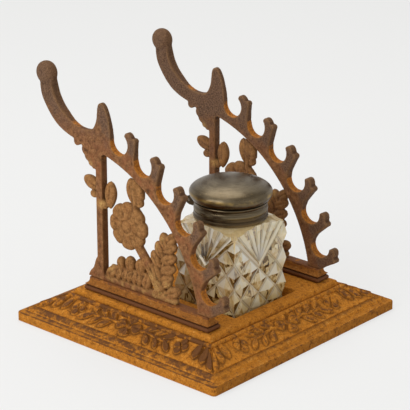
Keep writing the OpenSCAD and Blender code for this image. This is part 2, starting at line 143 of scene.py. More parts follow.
def stain(tree, base, tint, factor, amount, how="MIX"):
    """The colour base with tint laid over it, by factor times amount."""
    return blend(tree, sums(tree, "MULTIPLY", factor, amount), base, tint, how)


def plus(tree, a, b, share):
    """a and a share of b together."""
    return sums(tree, "ADD", a, sums(tree, "MULTIPLY", b, share))


def roughen(tree, shader, factor, first, last, low=0.3, high=0.7):
    """Runs the roughness from first to last as factor goes from low to high."""
    rough = put(tree, "ShaderNodeMapRange", {"Value": factor, "From Min": low, "From Max": high,
                                             "To Min": first, "To Max": last})
    tree.links.new(rough.outputs[0], shader.inputs["Roughness"])


def grain(tree, shader, height, depth):
    """Makes height, from 0 to 1, a relief of depth millimetres in the finish."""
    bump = put(tree, "ShaderNodeBump", {"Height": height, "Distance": depth * mm, "Strength": 1.0})
    tree.links.new(bump.outputs[0], shader.inputs["Normal"])


def attribute(tree, name):
    """A mark that a piece's points or faces carry."""
    return put(tree, "ShaderNodeAttribute", attribute_name=name).outputs["Fac"]


def ring(half_x, half_y, radius, per_side, per_corner=1):
    """Points round a rectangle with round corners, as many for any size."""
    points = []
    for turn, (c, s) in enumerate(quarter_turns):
        along, out = (half_x, half_y) if turn % 2 == 0 else (half_y, half_x)
        side = [(u * (along - radius), -out) for u in np.linspace(-1, 1, per_side + 1)]
        for a in np.linspace(0, math.pi / 2, per_corner + 1)[1:-1]:
            side.append((along - radius + radius * math.sin(a), radius - out - radius * math.cos(a)))
        points += [(c * x - s * y, s * x + c * y) for x, y in side]
    return np.array(points)


def ring_faces(rows, count, closed):
    """Quads between rings of points. Open ends are closed with one face each."""
    faces = []
    for r in range(rows if closed else rows - 1):
        low, high = r * count, (r + 1) % rows * count
        for i in range(count):
            j = (i + 1) % count
            faces.append((low + i, low + j, high + j, high + i))
    if not closed:
        faces.append(tuple(reversed(range(count))))
        faces.append(tuple(range((rows - 1) * count, rows * count)))
    return faces


def piece(name, points, faces, body, material, crease=None, marks=()):
    """A finished piece from points in millimetres: outward faces, material and body."""
    mesh = bpy.data.meshes.new(name)
    mesh.from_pydata((np.asarray(points, float) * mm).tolist(), [], faces)
    for mark, values in dict(marks).items():
        mesh.attributes.new(mark, "FLOAT", "POINT").data.foreach_set("value", np.asarray(values, np.float32))
    work = bmesh.new()
    work.from_mesh(mesh)
    bmesh.ops.remove_doubles(work, verts=work.verts, dist=0.0005 * mm)
    bmesh.ops.recalc_face_normals(work, faces=work.faces)
    work.to_mesh(mesh)
    work.free()
    mesh.materials.append(material)
    mesh.shade_smooth()
    if crease is not None:
        mesh.set_sharp_from_angle(angle=math.radians(crease))
    made = bpy.data.objects.new(name, mesh)
    bpy.context.collection.objects.link(made)
    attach(made, body)
    return made


def rust_finish(name, ochre, pale, dark, brown, roughness=0.84):
    """Rusted iron: mottled ochre, rubbed brown where the mark says worn, and a painted shade that darkens
    grooves, hollows and shaded edges.
    """
    material, tree, shader = finish_on(name, roughness, specular=0.12)
    broad = cloud(tree, 5, 6, 0.7)
    patches = cloud(tree, 2.4, 6, 0.7)
    fine = cloud(tree, 0.8, 6, 0.75)
    spots = cloud(tree, 0.45, 3, 0.6)
    shade = ramp(tree, patches, (0.36, dark), (0.46, ochre), (0.56, ochre), (0.66, pale))
    shade = stain(tree, shade, blend(tree, 0.5, dark, brown), step(tree, broad, 0.54, 0.66), 0.45)
    shade = stain(tree, shade, dark, step(tree, fine, 0.48, 0.62), 0.65)
    shade = stain(tree, shade, pale, step(tree, spots, 0.56, 0.68), 0.45)
    worn = step(tree, plus(tree, attribute(tree, "worn"), cloud(tree, 4.2, 6, 0.72), 1.3), 1.0, 1.24)
    rub_and_painted_light = blend(tree, step(tree, fine, 0.38, 0.60), brown, blend(tree, 0.35, brown, dark))
    shade = blend(tree, worn, shade, rub_and_painted_light)
    # Painted shade: dark brown laid where the pieces' shade mark is high.
    shade = stain(tree, shade, colour(62, 34, 14), attribute(tree, "painted_shade"), 0.85)
    tree.links.new(shade, shader.inputs["Base Color"])
    roughen(tree, shader, worn, roughness, roughness - 0.24, 0, 1)
    grain(tree, shader, plus(tree, fine, spots, 0.6), 0.24)
    return material


stand_rust = rust_finish("stand_rust", colour(186, 118, 36), colour(208, 146, 66), colour(122, 72, 22),
                         colour(96, 60, 30))


def slope_height(d):
    """Height of the plain slope at distance d in from the outer edge."""
    return slope_foot + (d - band_width) * slope_rise


def border_ring(d, z):
    """Points round the stand at distance d in from its outer edge, with tighter corners further in."""
    line = ring(half_width - d, half_depth - d, max(corner_round - d * 0.5, 0.15), side_steps, corner_steps)
    return [(x, y, z) for x, y in line]


def pan_ring(out, z):
    """Points round the pan at distance out from its upright wall."""
    line = ring(pan_half + out, pan_half + out, pan_round, side_steps, corner_steps)
    return [(x, y - pan_forward, z) for x, y in line]


# Each row is (distance in from the edge, height, how rubbed), from the foot up to the flat top.
groove_at = band_width + fillet_width
roll_at, roll_height, roll_radius = border_width - 3.2, tray_height - 4.2, 1.5
border_rows = [(0, 0, 0.2), (0, edge_height - 0.9, 0.2), (0.12, edge_height - 0.4, 0.62),
               (0.45, edge_height - 0.08, 0.62), (0.95, edge_height, 0.34),
               (band_width - 0.6, edge_height + 0.45, 0.6), (band_width - 0.25, edge_height + 0.8, 0.3),
               (band_width, slope_height(band_width), 0.5),
               (band_width + 0.4, slope_height(band_width + 0.4) + 0.35, 0.52),
               (groove_at - 0.5, slope_height(groove_at - 0.5) + 0.4, 0.5),
               (groove_at, slope_height(groove_at) - 0.1, 0.3),
               (groove_at + 0.2, slope_height(groove_at + 0.2) - 0.6, 0.0),
               (roll_at - 1.35, slope_height(roll_at - 1.35) - 0.6, 0.0)]
border_rows += [(roll_at + roll_radius * math.cos(a), roll_height + roll_radius * math.sin(a), 0.55)
                for a in np.radians(np.linspace(200, 20, 11))]
border_rows += [(border_width - 1.5, tray_height - 2.6, 0.1), (border_width - 1.15, tray_height - 1.1, 0.1),
                (border_width - 0.8, tray_height - 0.4, 0.2), (border_width - 0.3, tray_height - 0.05, 0.2),
                (border_width, tray_height, 0.1)]
# Painted shade laid on rows by number: deep in the grooves, a little on the band, and on the lower edge by
# its side.
row_shade = {4: 0.18, 5: 0.18, 9: 0.7, 11: 0.7, 23: 0.7}
lower_edge = {0: 0.3, 1: 0.42, 2: 0.34}
row_length = len(border_ring(0, 0))

points, worn, painted_shade = [], [], []
for r, (d, z, rub_and_light) in enumerate(border_rows):
    points += border_ring(d, z)
    worn += (rub_and_light * np.repeat(side_wear, row_length // 4)).tolist()
    edge_shade = lower_edge.get(r, 0.0) * np.repeat(side_shade, row_length // 4)
    painted_shade += (row_shade.get(r, 0.0) + edge_shade).tolist()
pan_rows = [(0.6, tray_height), (0.15, tray_height - 0.15), (0, tray_height - 0.6), (0, pan_floor + 0.6),
            (-0.2, pan_floor + 0.15), (-0.6, pan_floor)]
for out, z in pan_rows:
    points += pan_ring(out, z)
    worn += [0.1] * row_length
    # Painted shade on the floor of the pan.
    painted_shade += [0.6 if z < pan_floor + 0.5 else 0.0] * row_length
upper = ring_faces(len(points) // row_length, row_length, closed=False)[:-2]
floor_face = tuple(range(len(points) - row_length, len(points)))
first_under = len(points)
points += pan_ring(wall, pan_floor - wall) + pan_ring(wall, tray_height - wall)
for d, z in [(border_width, tray_height - wall), (border_width - wall, tray_height - 2 * wall),
             (wall + band_width, edge_height - 0.6), (wall, edge_height - wall), (wall, 0)]:
    points += border_ring(d, z)
worn += [0.3] * (len(points) - first_under)
# Painted shade over the whole underside.
painted_shade += [0.5] * (len(points) - first_under)
rows_under = (len(points) - first_under) // row_length
lower = [tuple(i + first_under for i in f) for f in ring_faces(rows_under, row_length, closed=False)[:-2]]
under_face = tuple(range(first_under, first_under + row_length))
foot = len(points) - row_length
rim = [(i, (i + 1) % row_length, foot + (i + 1) % row_length, foot + i) for i in range(row_length)]
faces = upper + lower + rim + [floor_face, under_face]
stand = piece("stand_casting", np.array(points) + stand_shift, faces, "root", stand_rust,
              35, {"worn": worn, "painted_shade": painted_shade})
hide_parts("stand")

# Border relief
# The low flowers and leaves of the same casting, on the flat of the slope. They are laid out
# from the middle of each side, alike to both hands, with three lobes on each side of a mitre.
vine, wave, stem_half, stem_from, stem_to = 15.6, 0.5, 0.8, 9, 30
dish_radius, eye_radius, small_flower = 1.9, 1.3, 39.3
leaf_steep, vein_width = 2.1, 0.22
relief_rows, per_side = 46, 500
relief_rise, relief_skirt, relief_fade, mitre_width, shade_spread = 1.4, 1.2, 0.4, 1.2, 14
# How far the pattern's middle lies off that of the front, right, back and left side.
pattern_middle = (-0.85, 0.0, 0.0, -1.2)
# A leaf or petal is (root, tip, width). Points are (along the side, in from the edge), and those
# of a flower are measured from its own middle.
side_leaves = [((10.9, 16.4), (18.2, 22.2), 3.7), ((18.6, 16.2), (24.9, 22.3), 3.7),
               ((25.4, 16.2), (31.4, 22.0), 3.7), ((12.8, 14.6), (19.0, 9.2), 3.6),
               ((20.6, 14.6), (25.6, 9.0), 3.0), ((26.6, 15.2), (34.2, 9.8), 3.2)]
flower_petals = [((1.6, 0), (8.7, 0), 6.2), ((0, 1.4), (0, 7.0), 7.0), ((0, -1.4), (0, -6.8), 7.0)]
small_petals = [((0.5, 0), (4.6, 0.1), 4.2), ((0, 0.6), (0, 5.0), 4.0), ((-0.5, 0), (-4.4, 0.2), 3.6),
                ((0, -0.6), (0.2, -5.0), 4.2)]
corner_lobes = [((27.9, 24.4), (25.6, 11.4), 4.3), ((23.2, 22.0), (18.6, 10.4), 4.4),
                ((20.2, 18.6), (10.4, 8.3), 3.5)]


def leaf_height(s, d, root, tip, width, full=1.0, groove=0.2):
    """Height from 0 to 1 of a flat-topped leaf at the points (s, d). A larger full swells the tip."""
    axis = np.subtract(tip, root)
    length = np.hypot(*axis)
    t = ((s - root[0]) * axis[0] + (d - root[1]) * axis[1]) / length ** 2
    across = ((d - root[1]) * axis[0] - (s - root[0]) * axis[1]) / length
    half = width / 2 * np.sin(np.pi * np.clip(t, 0, 1) ** full) ** 0.6
    u = across / np.maximum(half, 0.001)
    dome = np.sqrt(np.clip(1 - u * u, 0, 1)) * (t > 0) * (t < 1)
    return np.clip(dome * leaf_steep, 0, 1) * (1 - groove * np.exp(-(u / vein_width) ** 2) * (t < 0.85))


def border_height(s, d):
    """Relief from 0 to 1 at s along a side from its pattern's middle, d in from the edge."""
    v = np.abs(s)
    height = np.zeros_like(v)
    for root, tip, width in flower_petals:
        petal = leaf_height(v, d - vine, root, tip, width, 1.6, 0.35)
        height = np.maximum(height, petal)
    away = v ** 2 + (d - vine) ** 2
    height = np.where(away < dish_radius ** 2, 0.35, height)
    height = np.maximum(height, np.sqrt(np.clip(1 - away / eye_radius ** 2, 0, 1)))
    for root, tip, width in side_leaves:
        height = np.maximum(height, 0.95 * leaf_height(v, d, root, tip, width, 1.35))
    stem = vine + wave * np.sin((v - 8) / 3.4)
    on_stem = np.sqrt(np.clip(1 - ((d - stem) / stem_half) ** 2, 0, 1)) * (v > stem_from) * (v < stem_to)
    height = np.maximum(height, 0.65 * on_stem)
    for root, tip, width in small_petals:
        petal = leaf_height(v - small_flower, d - vine + 0.2, root, tip, width, 1.5, 0.3)
        height = np.maximum(height, 0.95 * petal)
    return height


def corner_height(a, d):
    """Relief of the corner's fan at a along the side from the corner, d in from the edge."""
    height = np.zeros_like(a)
    for root, tip, width in corner_lobes:
        height = np.maximum(height, leaf_height(a, d, root, tip, width, 1.9, 0.12))
    return height - 0.8 * np.exp(-((a - d) / 0.5) ** 2)


relief_d = np.linspace(groove_at + 0.3, roll_at - 1.15, relief_rows)
lines, levels = [], []
for d in relief_d:
    lines.append(ring(half_width - d, half_depth - d, 0.02, per_side))
    level = []
    for turn, shift in enumerate(pattern_middle):
        along = half_width if turn % 2 == 0 else half_depth
        s = np.linspace(-1, 1, per_side + 1) * (along - d)
        inwards = np.full_like(s, d)
        corner = corner_height(along - np.abs(s), inwards)
        side = np.maximum(border_height(s - shift, inwards), corner)
        level.append(np.where(along - np.abs(s) - inwards < mitre_width, corner, side))
    levels.append(np.concatenate(level))
edge_fade = np.clip(np.minimum(relief_d - relief_d[0], relief_d[-1] - relief_d) / relief_fade, 0, 1)
levels = np.array(levels) * edge_fade[:, None]
soft = levels.copy()
soft[1:-1] = (levels[:-2] + levels[2:] + 2 * levels[1:-1]) / 4
levels = (np.roll(soft, 1, 1) + np.roll(soft, -1, 1) + 2 * soft) / 4
around = levels.copy()
for turn in range(shade_spread):
    around[1:-1] = (around[:-2] + around[2:]) / 2
    around = (np.roll(around, 1, 1) + np.roll(around, -1, 1)) / 2
points = []
for line, d, level in zip(lines, relief_d, levels):
    points.append(np.column_stack([line, slope_height(d) + level * relief_rise]))
row_length = len(lines[0])
for r in (-1, 0):
    points.append(np.column_stack([lines[r], np.full(row_length, slope_height(relief_d[r]) - relief_skirt)]))
# The left side is rubbed less towards the back.
wear = np.repeat(side_wear, per_side + 1)
wear[-per_side:] *= np.linspace(0.7, 1, per_side)
worn = 0.68 * np.clip(levels / 0.55, 0, 1) ** 1.5 * wear
worn = np.concatenate([worn.ravel(), np.zeros(2 * row_length)])
# Painted shade on the slope round the raised leaves and petals, stronger on the more rubbed sides.
shadow = np.clip((around - levels) * 4.4, 0, 1) * (0.35 + 0.65 * wear)
painted_shade = np.concatenate([shadow.ravel(), np.ones(2 * row_length)])
points = np.concatenate(points) + stand_shift
piece("border_relief", points, ring_faces(relief_rows + 2, row_length, closed=True), "root",
      stand_rust, None, {"worn": worn, "painted_shade": painted_shade})

# Rack rails
# The moulded foot of each rack: a torus, a cove and a fillet that return round both ends.
# A rail is cast with its rack and is held to the tray by two screws from below.
rail_rust = rust_finish("rail_rust", colour(166, 104, 40), colour(190, 134, 70), colour(108, 66, 28),
                        colour(112, 68, 38), 0.76)
rail_low, rail_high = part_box("left_rail")
rail_half = (rail_high.x - rail_low.x) / 2 / mm
rail_half_length = (rail_high.y - rail_low.y) / 2 / mm
rail_height = (rail_high.z - rail_low.z) / mm
top_half = 3.1
torus = 1.5
quirk_low, quirk_high = 2.7, 3.6
section = [(torus - torus * math.cos(a), torus + torus * math.sin(a), 1.0)
           for a in np.radians(np.linspace(-90, 80, 12))]
cove = rail_half - top_half + 0.4
section += [(-0.5 - cove * math.cos(a), rail_height - 1.5 + cove * math.sin(a), 0.15)
            for a in np.radians(np.linspace(250, 182, 8))]
fillet = rail_half - top_half
section += [(fillet - 0.1, rail_height - 1.3, 0.3), (fillet, rail_height - 1.1, 0.5),
            (fillet, rail_height - 0.35, 0.5), (fillet + 0.35, rail_height, 0.6)]


def rail_shade(z):
    """The painted shade on the moulding at height z: deepest in the quirk over the torus, then by the tray,
    least in the cove.
    """
    if quirk_low < z < quirk_high:
        return 0.9
    if z < 0.6:
        return 0.7
    return 0.3 if z < rail_height - 1.4 else 0.0


for side in ("left", "right"):
    low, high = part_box(f"{side}_rail")
    middle = (low + high) / 2 / mm
    points, worn, painted_shade = [], [], []
    for inset, z, rub_and_light in section:
        line = ring(rail_half - inset, rail_half_length - inset, 0.5, 30, 4)
        points.append(np.column_stack([line[:, 0] + middle.x, line[:, 1] + middle.y,
                                       np.full(len(line), low.z / mm + z)]))
        worn += [rub_and_light] * len(line)
        painted_shade += [rail_shade(z)] * len(line)
    rail = piece(f"{side}_rail_moulding", np.concatenate(points), ring_faces(len(section), len(line), False),
                 "root", rail_rust, 40, {"worn": worn, "painted_shade": painted_shade})
    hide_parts(f"{side}_rail")

# Racks and sprays
# Each rack is an openwork plate of cast iron with its post, hooks and rear arm, and the spray
# of leaves and the rosette are one pour with it. The skin is brown, with rust on the inner edges.
rack_low, rack_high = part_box("left_rack")
rack_plane = (rack_low.x + rack_high.x) / 2 / mm
knob_radius, arm_reach, post_width = 6.8, 41.8, 4.8
post_front = rack_high.y / mm - knob_radius - arm_reach - post_width / 2
rail_top = rack_low.z / mm
leaf_thick, stem_thick, eye_thick = 4.4, 3.4, 5.6
knob_at = (rack_high.y / mm - knob_radius, rack_high.z / mm - knob_radius)
notch_arc, notch_pitch, notch_radius, arc_drop = 107.0, 20.25, 6.5, 17.0
notches, first_notch, notch_floor, band_thick = 6, math.radians(109), 5.0, 8.5
band_arc = notch_arc - notch_radius - notch_floor + band_thick / 2
band_foot = rail_low.y / mm + rail_half
arc_at = (band_foot + math.sqrt(band_arc ** 2 - arc_drop ** 2) - post_front, -arc_drop)
# The second value is painted shade that makes the right rack greyer and darker.
voxel, right_rack_shade = 0.435, 0.42


def lobe(root, tip, width, thick, full=1.0, groove=0.3, blunt=0.6, rings=14, around=28):
    """A domed leaf or petal in the rack's plane, with a groove along its middle on both faces."""
    root, tip = np.array(root, float), np.array(tip, float)
    axis = tip - root
    length = np.hypot(*axis)
    out = axis / length
    across = np.array([-out[1], out[0]])
    points = [(0, *root)]
    for t in np.linspace(0, 1, rings + 2)[1:-1]:
        bulge = math.sin(math.pi * t ** full)
        half = width / 2 * bulge ** blunt
        deep = thick / 2 * bulge ** 0.45
        for a in np.linspace(0, 2 * math.pi, around, endpoint=False):
            u = math.cos(a)
            vein = 1 - groove * math.exp(-(u / vein_width) ** 2)
            x = math.copysign(abs(math.sin(a)) ** 0.6, math.sin(a)) * deep * vein
            y, z = root + axis * t + across * u * half
            points.append((x, y, z))
    points.append((0, *tip))
    last = len(points) - 1
    faces = [(0, 1 + i, 1 + (i + 1) % around) for i in range(around)]
    faces += [tuple(k + 1 for k in f) for f in ring_faces(rings, around, False)[:-2]]
    faces += [(last, last - 1 - i, last - 1 - (i + 1) % around) for i in range(around)]
    return np.array(points), faces


def disc(middle, radius, thick, around=48):
    """A flat boss, as the rosette's eye: a low rim with a groove inside it, alike on both faces."""
    face = [(0.98, 0.30), (1.0, 0.44), (0.93, 0.5), (0.84, 0.47), (0.76, 0.36), (0.68, 0.38), (0.5, 0.47),
            (0.2, 0.5)]
    section = [(r, -t) for r, t in reversed(face)] + face
    points = []
    for r, t in section:
        for a in np.linspace(0, 2 * math.pi, around, endpoint=False):
            y, z = middle[0] + radius * r * math.cos(a), middle[1] + radius * r * math.sin(a)
            points.append((t * thick, y, z))
    return np.array(points), ring_faces(len(section), around, False)


def stem(root, tip, root_width, tip_width, thick, strands, rings=8, around=12):
    """A bundle of round strands side by side, tapering from root to tip."""
    root, tip = np.array(root, float), np.array(tip, float)
    out = (tip - root) / np.hypot(*(tip - root))
    across = np.array([-out[1], out[0]])
    parts = []
    for k in range(strands):
        offset = (k + 0.5) / strands - 0.5
        points = []
        for t in np.linspace(0, 1, rings):
            full = root_width + (tip_width - root_width) * t
            radius = full / strands * 0.62
            for a in np.linspace(0, 2 * math.pi, around, endpoint=False):
                y, z = root + (tip - root) * t + across * (offset * full + radius * math.cos(a))
                points.append((math.sin(a) * thick / 2, y, z))
        parts.append((np.array(points), ring_faces(rings, around, False)))
    return parts


def gather(parts):
    """Joins (points, faces) pairs into one."""
    points, faces, start = [], [], 0
    for p, f in parts:
        points.append(p)
        faces += [tuple(i + start for i in face) for face in f]
        start += len(p)
    return np.concatenate(points), faces


def plain(points, faces):
    """A working object from points and faces, with no finish."""
    mesh = bpy.data.meshes.new("work")
    mesh.from_pydata(np.asarray(points).tolist(), [], faces)
    work = bpy.data.objects.new("work", mesh)
    bpy.context.collection.objects.link(work)
    return work


def evaluated(work):
    """The plain mesh that an object's modifiers make of it. The object is removed."""
    depsgraph = bpy.context.evaluated_depsgraph_get()
    depsgraph.update()
    mesh = bpy.data.meshes.new_from_object(work.evaluated_get(depsgraph))
    bpy.data.objects.remove(work)
    return mesh


def as_arrays(mesh):
    """A mesh's points and faces."""
    points = np.zeros(len(mesh.vertices) * 3)
    mesh.vertices.foreach_get("co", points)
    return points.reshape(-1, 3), [tuple(p.vertices) for p in mesh.polygons]


def repeat_tree(name, material):
    """Geometry nodes that set Count copies of a piece round the X axis."""
    tree = bpy.data.node_groups.new(name, "GeometryNodeTree")
    for label, kind, way in (("Geometry", "NodeSocketGeometry", "INPUT"), ("Count", "NodeSocketInt", "INPUT"),
                             ("Geometry", "NodeSocketGeometry", "OUTPUT")):
        tree.interface.new_socket(label, in_out=way, socket_type=kind)
    start, end = put(tree, "NodeGroupInput"), put(tree, "NodeGroupOutput")
    dots = put(tree, "GeometryNodePoints", {"Count": start.outputs["Count"]})
    index = put(tree, "GeometryNodeInputIndex").outputs[0]
    share = sums(tree, "DIVIDE", index, start.outputs["Count"])
    angle = sums(tree, "MULTIPLY", share, 2 * math.pi)
    turn = put(tree, "ShaderNodeCombineXYZ", {"X": angle}).outputs[0]
    copies = put(tree, "GeometryNodeInstanceOnPoints",
                 {"Points": dots.outputs[0], "Instance": start.outputs["Geometry"], "Rotation": turn})
    real = put(tree, "GeometryNodeRealizeInstances", {"Geometry": copies.outputs[0]})
    finish = put(tree, "GeometryNodeSetMaterial", {"Geometry": real.outputs[0], "Material": material})
    tree.links.new(finish.outputs[0], end.inputs[0])
    return tree


def set_input(modifier, name, value):
    """Sets one of a modifier's named inputs, by its socket's identifier."""
    for socket in modifier.node_group.interface.items_tree:
        if socket.in_out == "INPUT" and socket.name == name:
            modifier[socket.identifier] = value


def brown_finish(name):
    """Brown skin on iron: grey where hands rub it, orange rust lying in the notches, flecks of gilt, painted
    shade in creases, on side walls and over the right rack, and a painted highlight with the wear on proud
    edges.
    """
    material, tree, shader = finish_on(name, 0.7, specular=0.14)
    broad = cloud(tree, 7, 5)
    patches = cloud(tree, 2.6, 6, 0.65)
    fine = cloud(tree, 0.8, 6, 0.7)
    spots = cloud(tree, 0.6, 3, 0.5)
    skin = ramp(tree, patches, (0.36, colour(88, 56, 32)), (0.47, colour(124, 82, 50)),
                (0.56, colour(136, 93, 58)), (0.68, colour(154, 108, 70)))
    skin = stain(tree, skin, colour(142, 86, 52), step(tree, broad, 0.46, 0.62), 0.6)
    leaf = ramp(tree, patches, (0.34, colour(120, 80, 40)), (0.48, colour(158, 112, 62)),
                (0.66, colour(178, 130, 74)))
    skin = stain(tree, skin, leaf, attribute(tree, "leafy"), 0.62)
    skin = stain(tree, skin, colour(78, 50, 26), step(tree, fine, 0.47, 0.62), 0.45)
    # Grey where hands rub it; over the right rack the same grey is also laid as painted shade.
    grey_and_shade = blend(tree, step(tree, fine, 0.42, 0.60), colour(112, 84, 64), colour(80, 58, 44))
    rub_and_painted_light = plus(tree, attribute(tree, "handled_and_shade"), broad, 0.9)
    skin = blend(tree, step(tree, rub_and_painted_light, 0.70, 1.25), skin, grey_and_shade)
    # Painted shade on the plate's side walls.
    skin = stain(tree, skin, colour(76, 48, 24), attribute(tree, "side"), 0.5)
    rust = blend(tree, step(tree, fine, 0.40, 0.62), colour(186, 116, 38), colour(124, 72, 26))
    patchy = plus(tree, attribute(tree, "rusty"), patches, 0.8)
    skin = blend(tree, step(tree, patchy, 0.70, 1.05), skin, rust)
    skin = stain(tree, skin, colour(184, 142, 86), step(tree, spots, 0.64, 0.72), 0.7)
    # Painted shade in the creases.
    skin = stain(tree, skin, colour(64, 38, 16), attribute(tree, "painted_shade"), 0.8)
    gilded = sums(tree, "MULTIPLY", attribute(tree, "gilt"), step(tree, fine, 0.44, 0.58))
    skin = stain(tree, skin, colour(198, 160, 96), gilded, 0.8)
    # Proud edges lighter: rubbed wear and a painted highlight.
    skin = stain(tree, skin, colour(170, 126, 76), attribute(tree, "proud_wear_and_glint"), 0.3)
    tree.links.new(skin, shader.inputs["Base Color"])
    roughen(tree, shader, fine, 0.58, 0.84)
    grain(tree, shader, plus(tree, fine, spots, 0.5), 0.2)
    return material


brown_skin = brown_finish("brown_skin")
petals, rose_radius = 8, 14.3
rose = (-18.6, 37.1)
frond_slim, petal_thick = 0.86, leaf_thick + 0.7
# A leaf is (root, tip, width). Points are (back from the post's front, up from the rail's top).
waist_leaves = [((2.0, 54.0), (16.2, 58.4), 7.8), ((3.0, 51.0), (11.0, 49.6), 4.8),
                ((-4.4, 43.4), (-5.4, 60.6), 8.2), ((2.4, 49.6), (-1.8, 43.0), 4.6),
                ((-1.4, 50.0), (-6.6, 47.0), 4.4), ((2.0, 49.8), (3.2, 43.8), 4.0)]
bud_petals = [((-23.2, 49.6), (-20.4, 66.2), 7.8), ((-24.6, 49.6), (-25.0, 68.0), 7.0),
              ((-25.6, 49.6), (-28.4, 63.6), 6.4), ((-24.0, 60.6), (-30.2, 60.4), 5.4),
              ((-24.2, 56.6), (-30.8, 56.6), 5.2), ((-24.4, 52.6), (-30.0, 52.8), 5.2)]
back_frond = [((-12.8, 8.6), (-12.2, 17.6), 6.4), ((-19.6, 8.6), (-19.6, 19.7), 8.2),
              ((-28.0, 8.6), (-27.4, 20.2), 8.6), ((-11.2, 11.4), (-1.0, 2.6), 7.6),
              ((-13.9, 12.0), (-9.4, 2.6), 5.2), ((-17.4, 12.0), (-14.4, 2.9), 4.8),
              ((-21.2, 12.0), (-18.4, 3.2), 4.6), ((-24.8, 12.0), (-22.4, 3.1), 4.6),
              ((-28.4, 12.0), (-26.4, 3.1), 4.8), ((-34.2, 13.0), (-31.2, 2.0), 7.8)]
front_frond = [((-42.0, 10.6), (-52.0, 15.2), 6.6), ((-42.0, 16.2), (-54.0, 21.2), 7.2),
               ((-42.6, 22.4), (-54.6, 27.6), 7.4), ((-43.6, 28.8), (-55.0, 34.6), 7.6),
               ((-46.0, 33.6), (-55.0, 40.6), 7.4), ((-43.5, 8.0), (-37.4, 21.4), 7.2),
               ((-43.0, 17.4), (-36.6, 27.8), 7.0), ((-45.0, 23.4), (-40.2, 34.2), 7.0),
               ((-47.6, 29.0), (-44.4, 40.2), 7.2)]
foot_leaves = [((-46.0, 3.6), (-57.4, 8.6), 7.8), ((-45.0, 2.4), (-56.4, 1.8), 4.6),
               ((-42.5, 7.0), (-51.0, 12.2), 5.0)]
# A stem is (root, tip, width at each end, thickness, strands). They run to the rosette, back along
# the rail, up the front frond and up the bud. The sill and four thin strands at the foot follow.
stems = [((-45.5, 3.4), (-25.6, 27.2), 6.2, 5.2, stem_thick, 3),
         ((-37.5, 10.6), (-5.0, 9.2), 4.6, 3.0, stem_thick - 0.8, 2),
         ((-43.6, 7.4), (-48.6, 35.0), 5.0, 3.4, stem_thick - 0.8, 2),
         ((-24.4, 48.0), (-24.6, 65.0), 3.2, 2.6, leaf_thick + 0.4, 1),
         ((2.0, 1.5), (-55.0, 1.5), 4.6, 4.6, stem_thick, 1)]
stems += [((-34.6, 16.0), tip, 1.9, 1.5, leaf_thick + 1.4, 1)
          for tip in ((-41.0, 4.4), (-42.8, 4.8), (-44.6, 5.6), (-46.2, 6.8))]
foot_curl = disc((-40.4, 2.9), 2.6, leaf_thick + 0.6)
rose_eye = disc(rose, 5.2, eye_thick)
arm_swell = lobe((41.9, 97.0), (41.5, 120.0), 7.9, 6.4, 1.0, 0.0, blunt=0.3)
outer_petal = lobe((0, 2.5), (0, rose_radius), 9.8, petal_thick, 1.8, 0.16, blunt=0.45)
inner_petal = lobe((0, 3.0), (0, 9.2), 5.8, petal_thick, 1.0, 0.0)
parts = []
for root, tip, width in waist_leaves + bud_petals:
    parts.append(lobe(root, tip, width, leaf_thick, 1.2, 0.25))
for root, tip, width in back_frond + front_frond + foot_leaves:
    parts.append(lobe(root, tip, frond_slim * width, leaf_thick + 0.6, 1.3, 0.3))
for bundle in stems:
    parts += stem(*bundle)
parts.append(foot_curl)
petal_tree = repeat_tree("rosette_petals", brown_skin)
for petal in (outer_petal, inner_petal):
    work = plain(*petal)
    turned = work.modifiers.new("petals", "NODES")
    turned.node_group = petal_tree
    set_input(turned, "Count", petals)
    petal_points, petal_faces = as_arrays(evaluated(work))
    parts.append((petal_points + np.array([0, *rose]), petal_faces))
parts += [rose_eye, arm_swell]
# A patch of gilt or of rust is (back, up, how far it reaches).
gilt_spots = [(-37.5, 12.4, 2.6), (-41.0, 8.2, 3.2), (-5.4, 9.0, 2.4), (0.5, 46.0, 2.4), (-48.5, 10.4, 2.4),
              (-44.0, 4.0, 2.6), (-40.6, 31.5, 1.6), (-45.6, 37.5, 1.6), (9.0, 68.0, 2.2)]
rust_spots = [(22.0, 84.0, 6.0), (5.0, 2.0, 3.0), (-1.0, 74.0, 3.0), (-60.0, 3.0, 4.0)]
spray_points, spray_faces = gather(parts)
spray_points = spray_points + np.array([0, post_front, rail_top])

# The plate's solid and the spray are melted into one skin, as one pour of iron.
source = bmesh.new()
source.from_mesh(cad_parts["left_rack"].data)
bmesh.ops.remove_doubles(source, verts=source.verts, dist=0.001 * mm)
whole = bpy.data.meshes.new("rack_copy")
source.to_mesh(whole)
source.free()
rack_points, rack_faces = as_arrays(whole)
rack_points = rack_points / mm - np.array([rack_plane, 0, 0])
casting = plain(*gather([(rack_points, rack_faces), (spray_points, spray_faces)]))
skin = casting.modifiers.new("pour", "REMESH")
skin.mode = "VOXEL"
skin.voxel_size = voxel
cast_points, cast_faces = as_arrays(evaluated(casting))


def neighbours(faces):
    """Both ends of every edge, once each way."""
    quads = np.array(faces)
    ends = np.concatenate([np.column_stack([quads[:, k], quads[:, (k + 1) % 4]]) for k in range(4)])
    return np.unique(np.concatenate([ends, ends[:, ::-1]]), axis=0)


def relax(values, links, amount, times):
    """Moves each value towards the mean of its neighbours."""
    count = np.bincount(links[:, 0], minlength=len(values))
    for turn in range(times):
        total = np.column_stack([np.bincount(links[:, 0], values[links[:, 1], k], len(values))
                                 for k in range(values.shape[1])])
        values = values + amount * (total / count[:, None] - values)
    return values


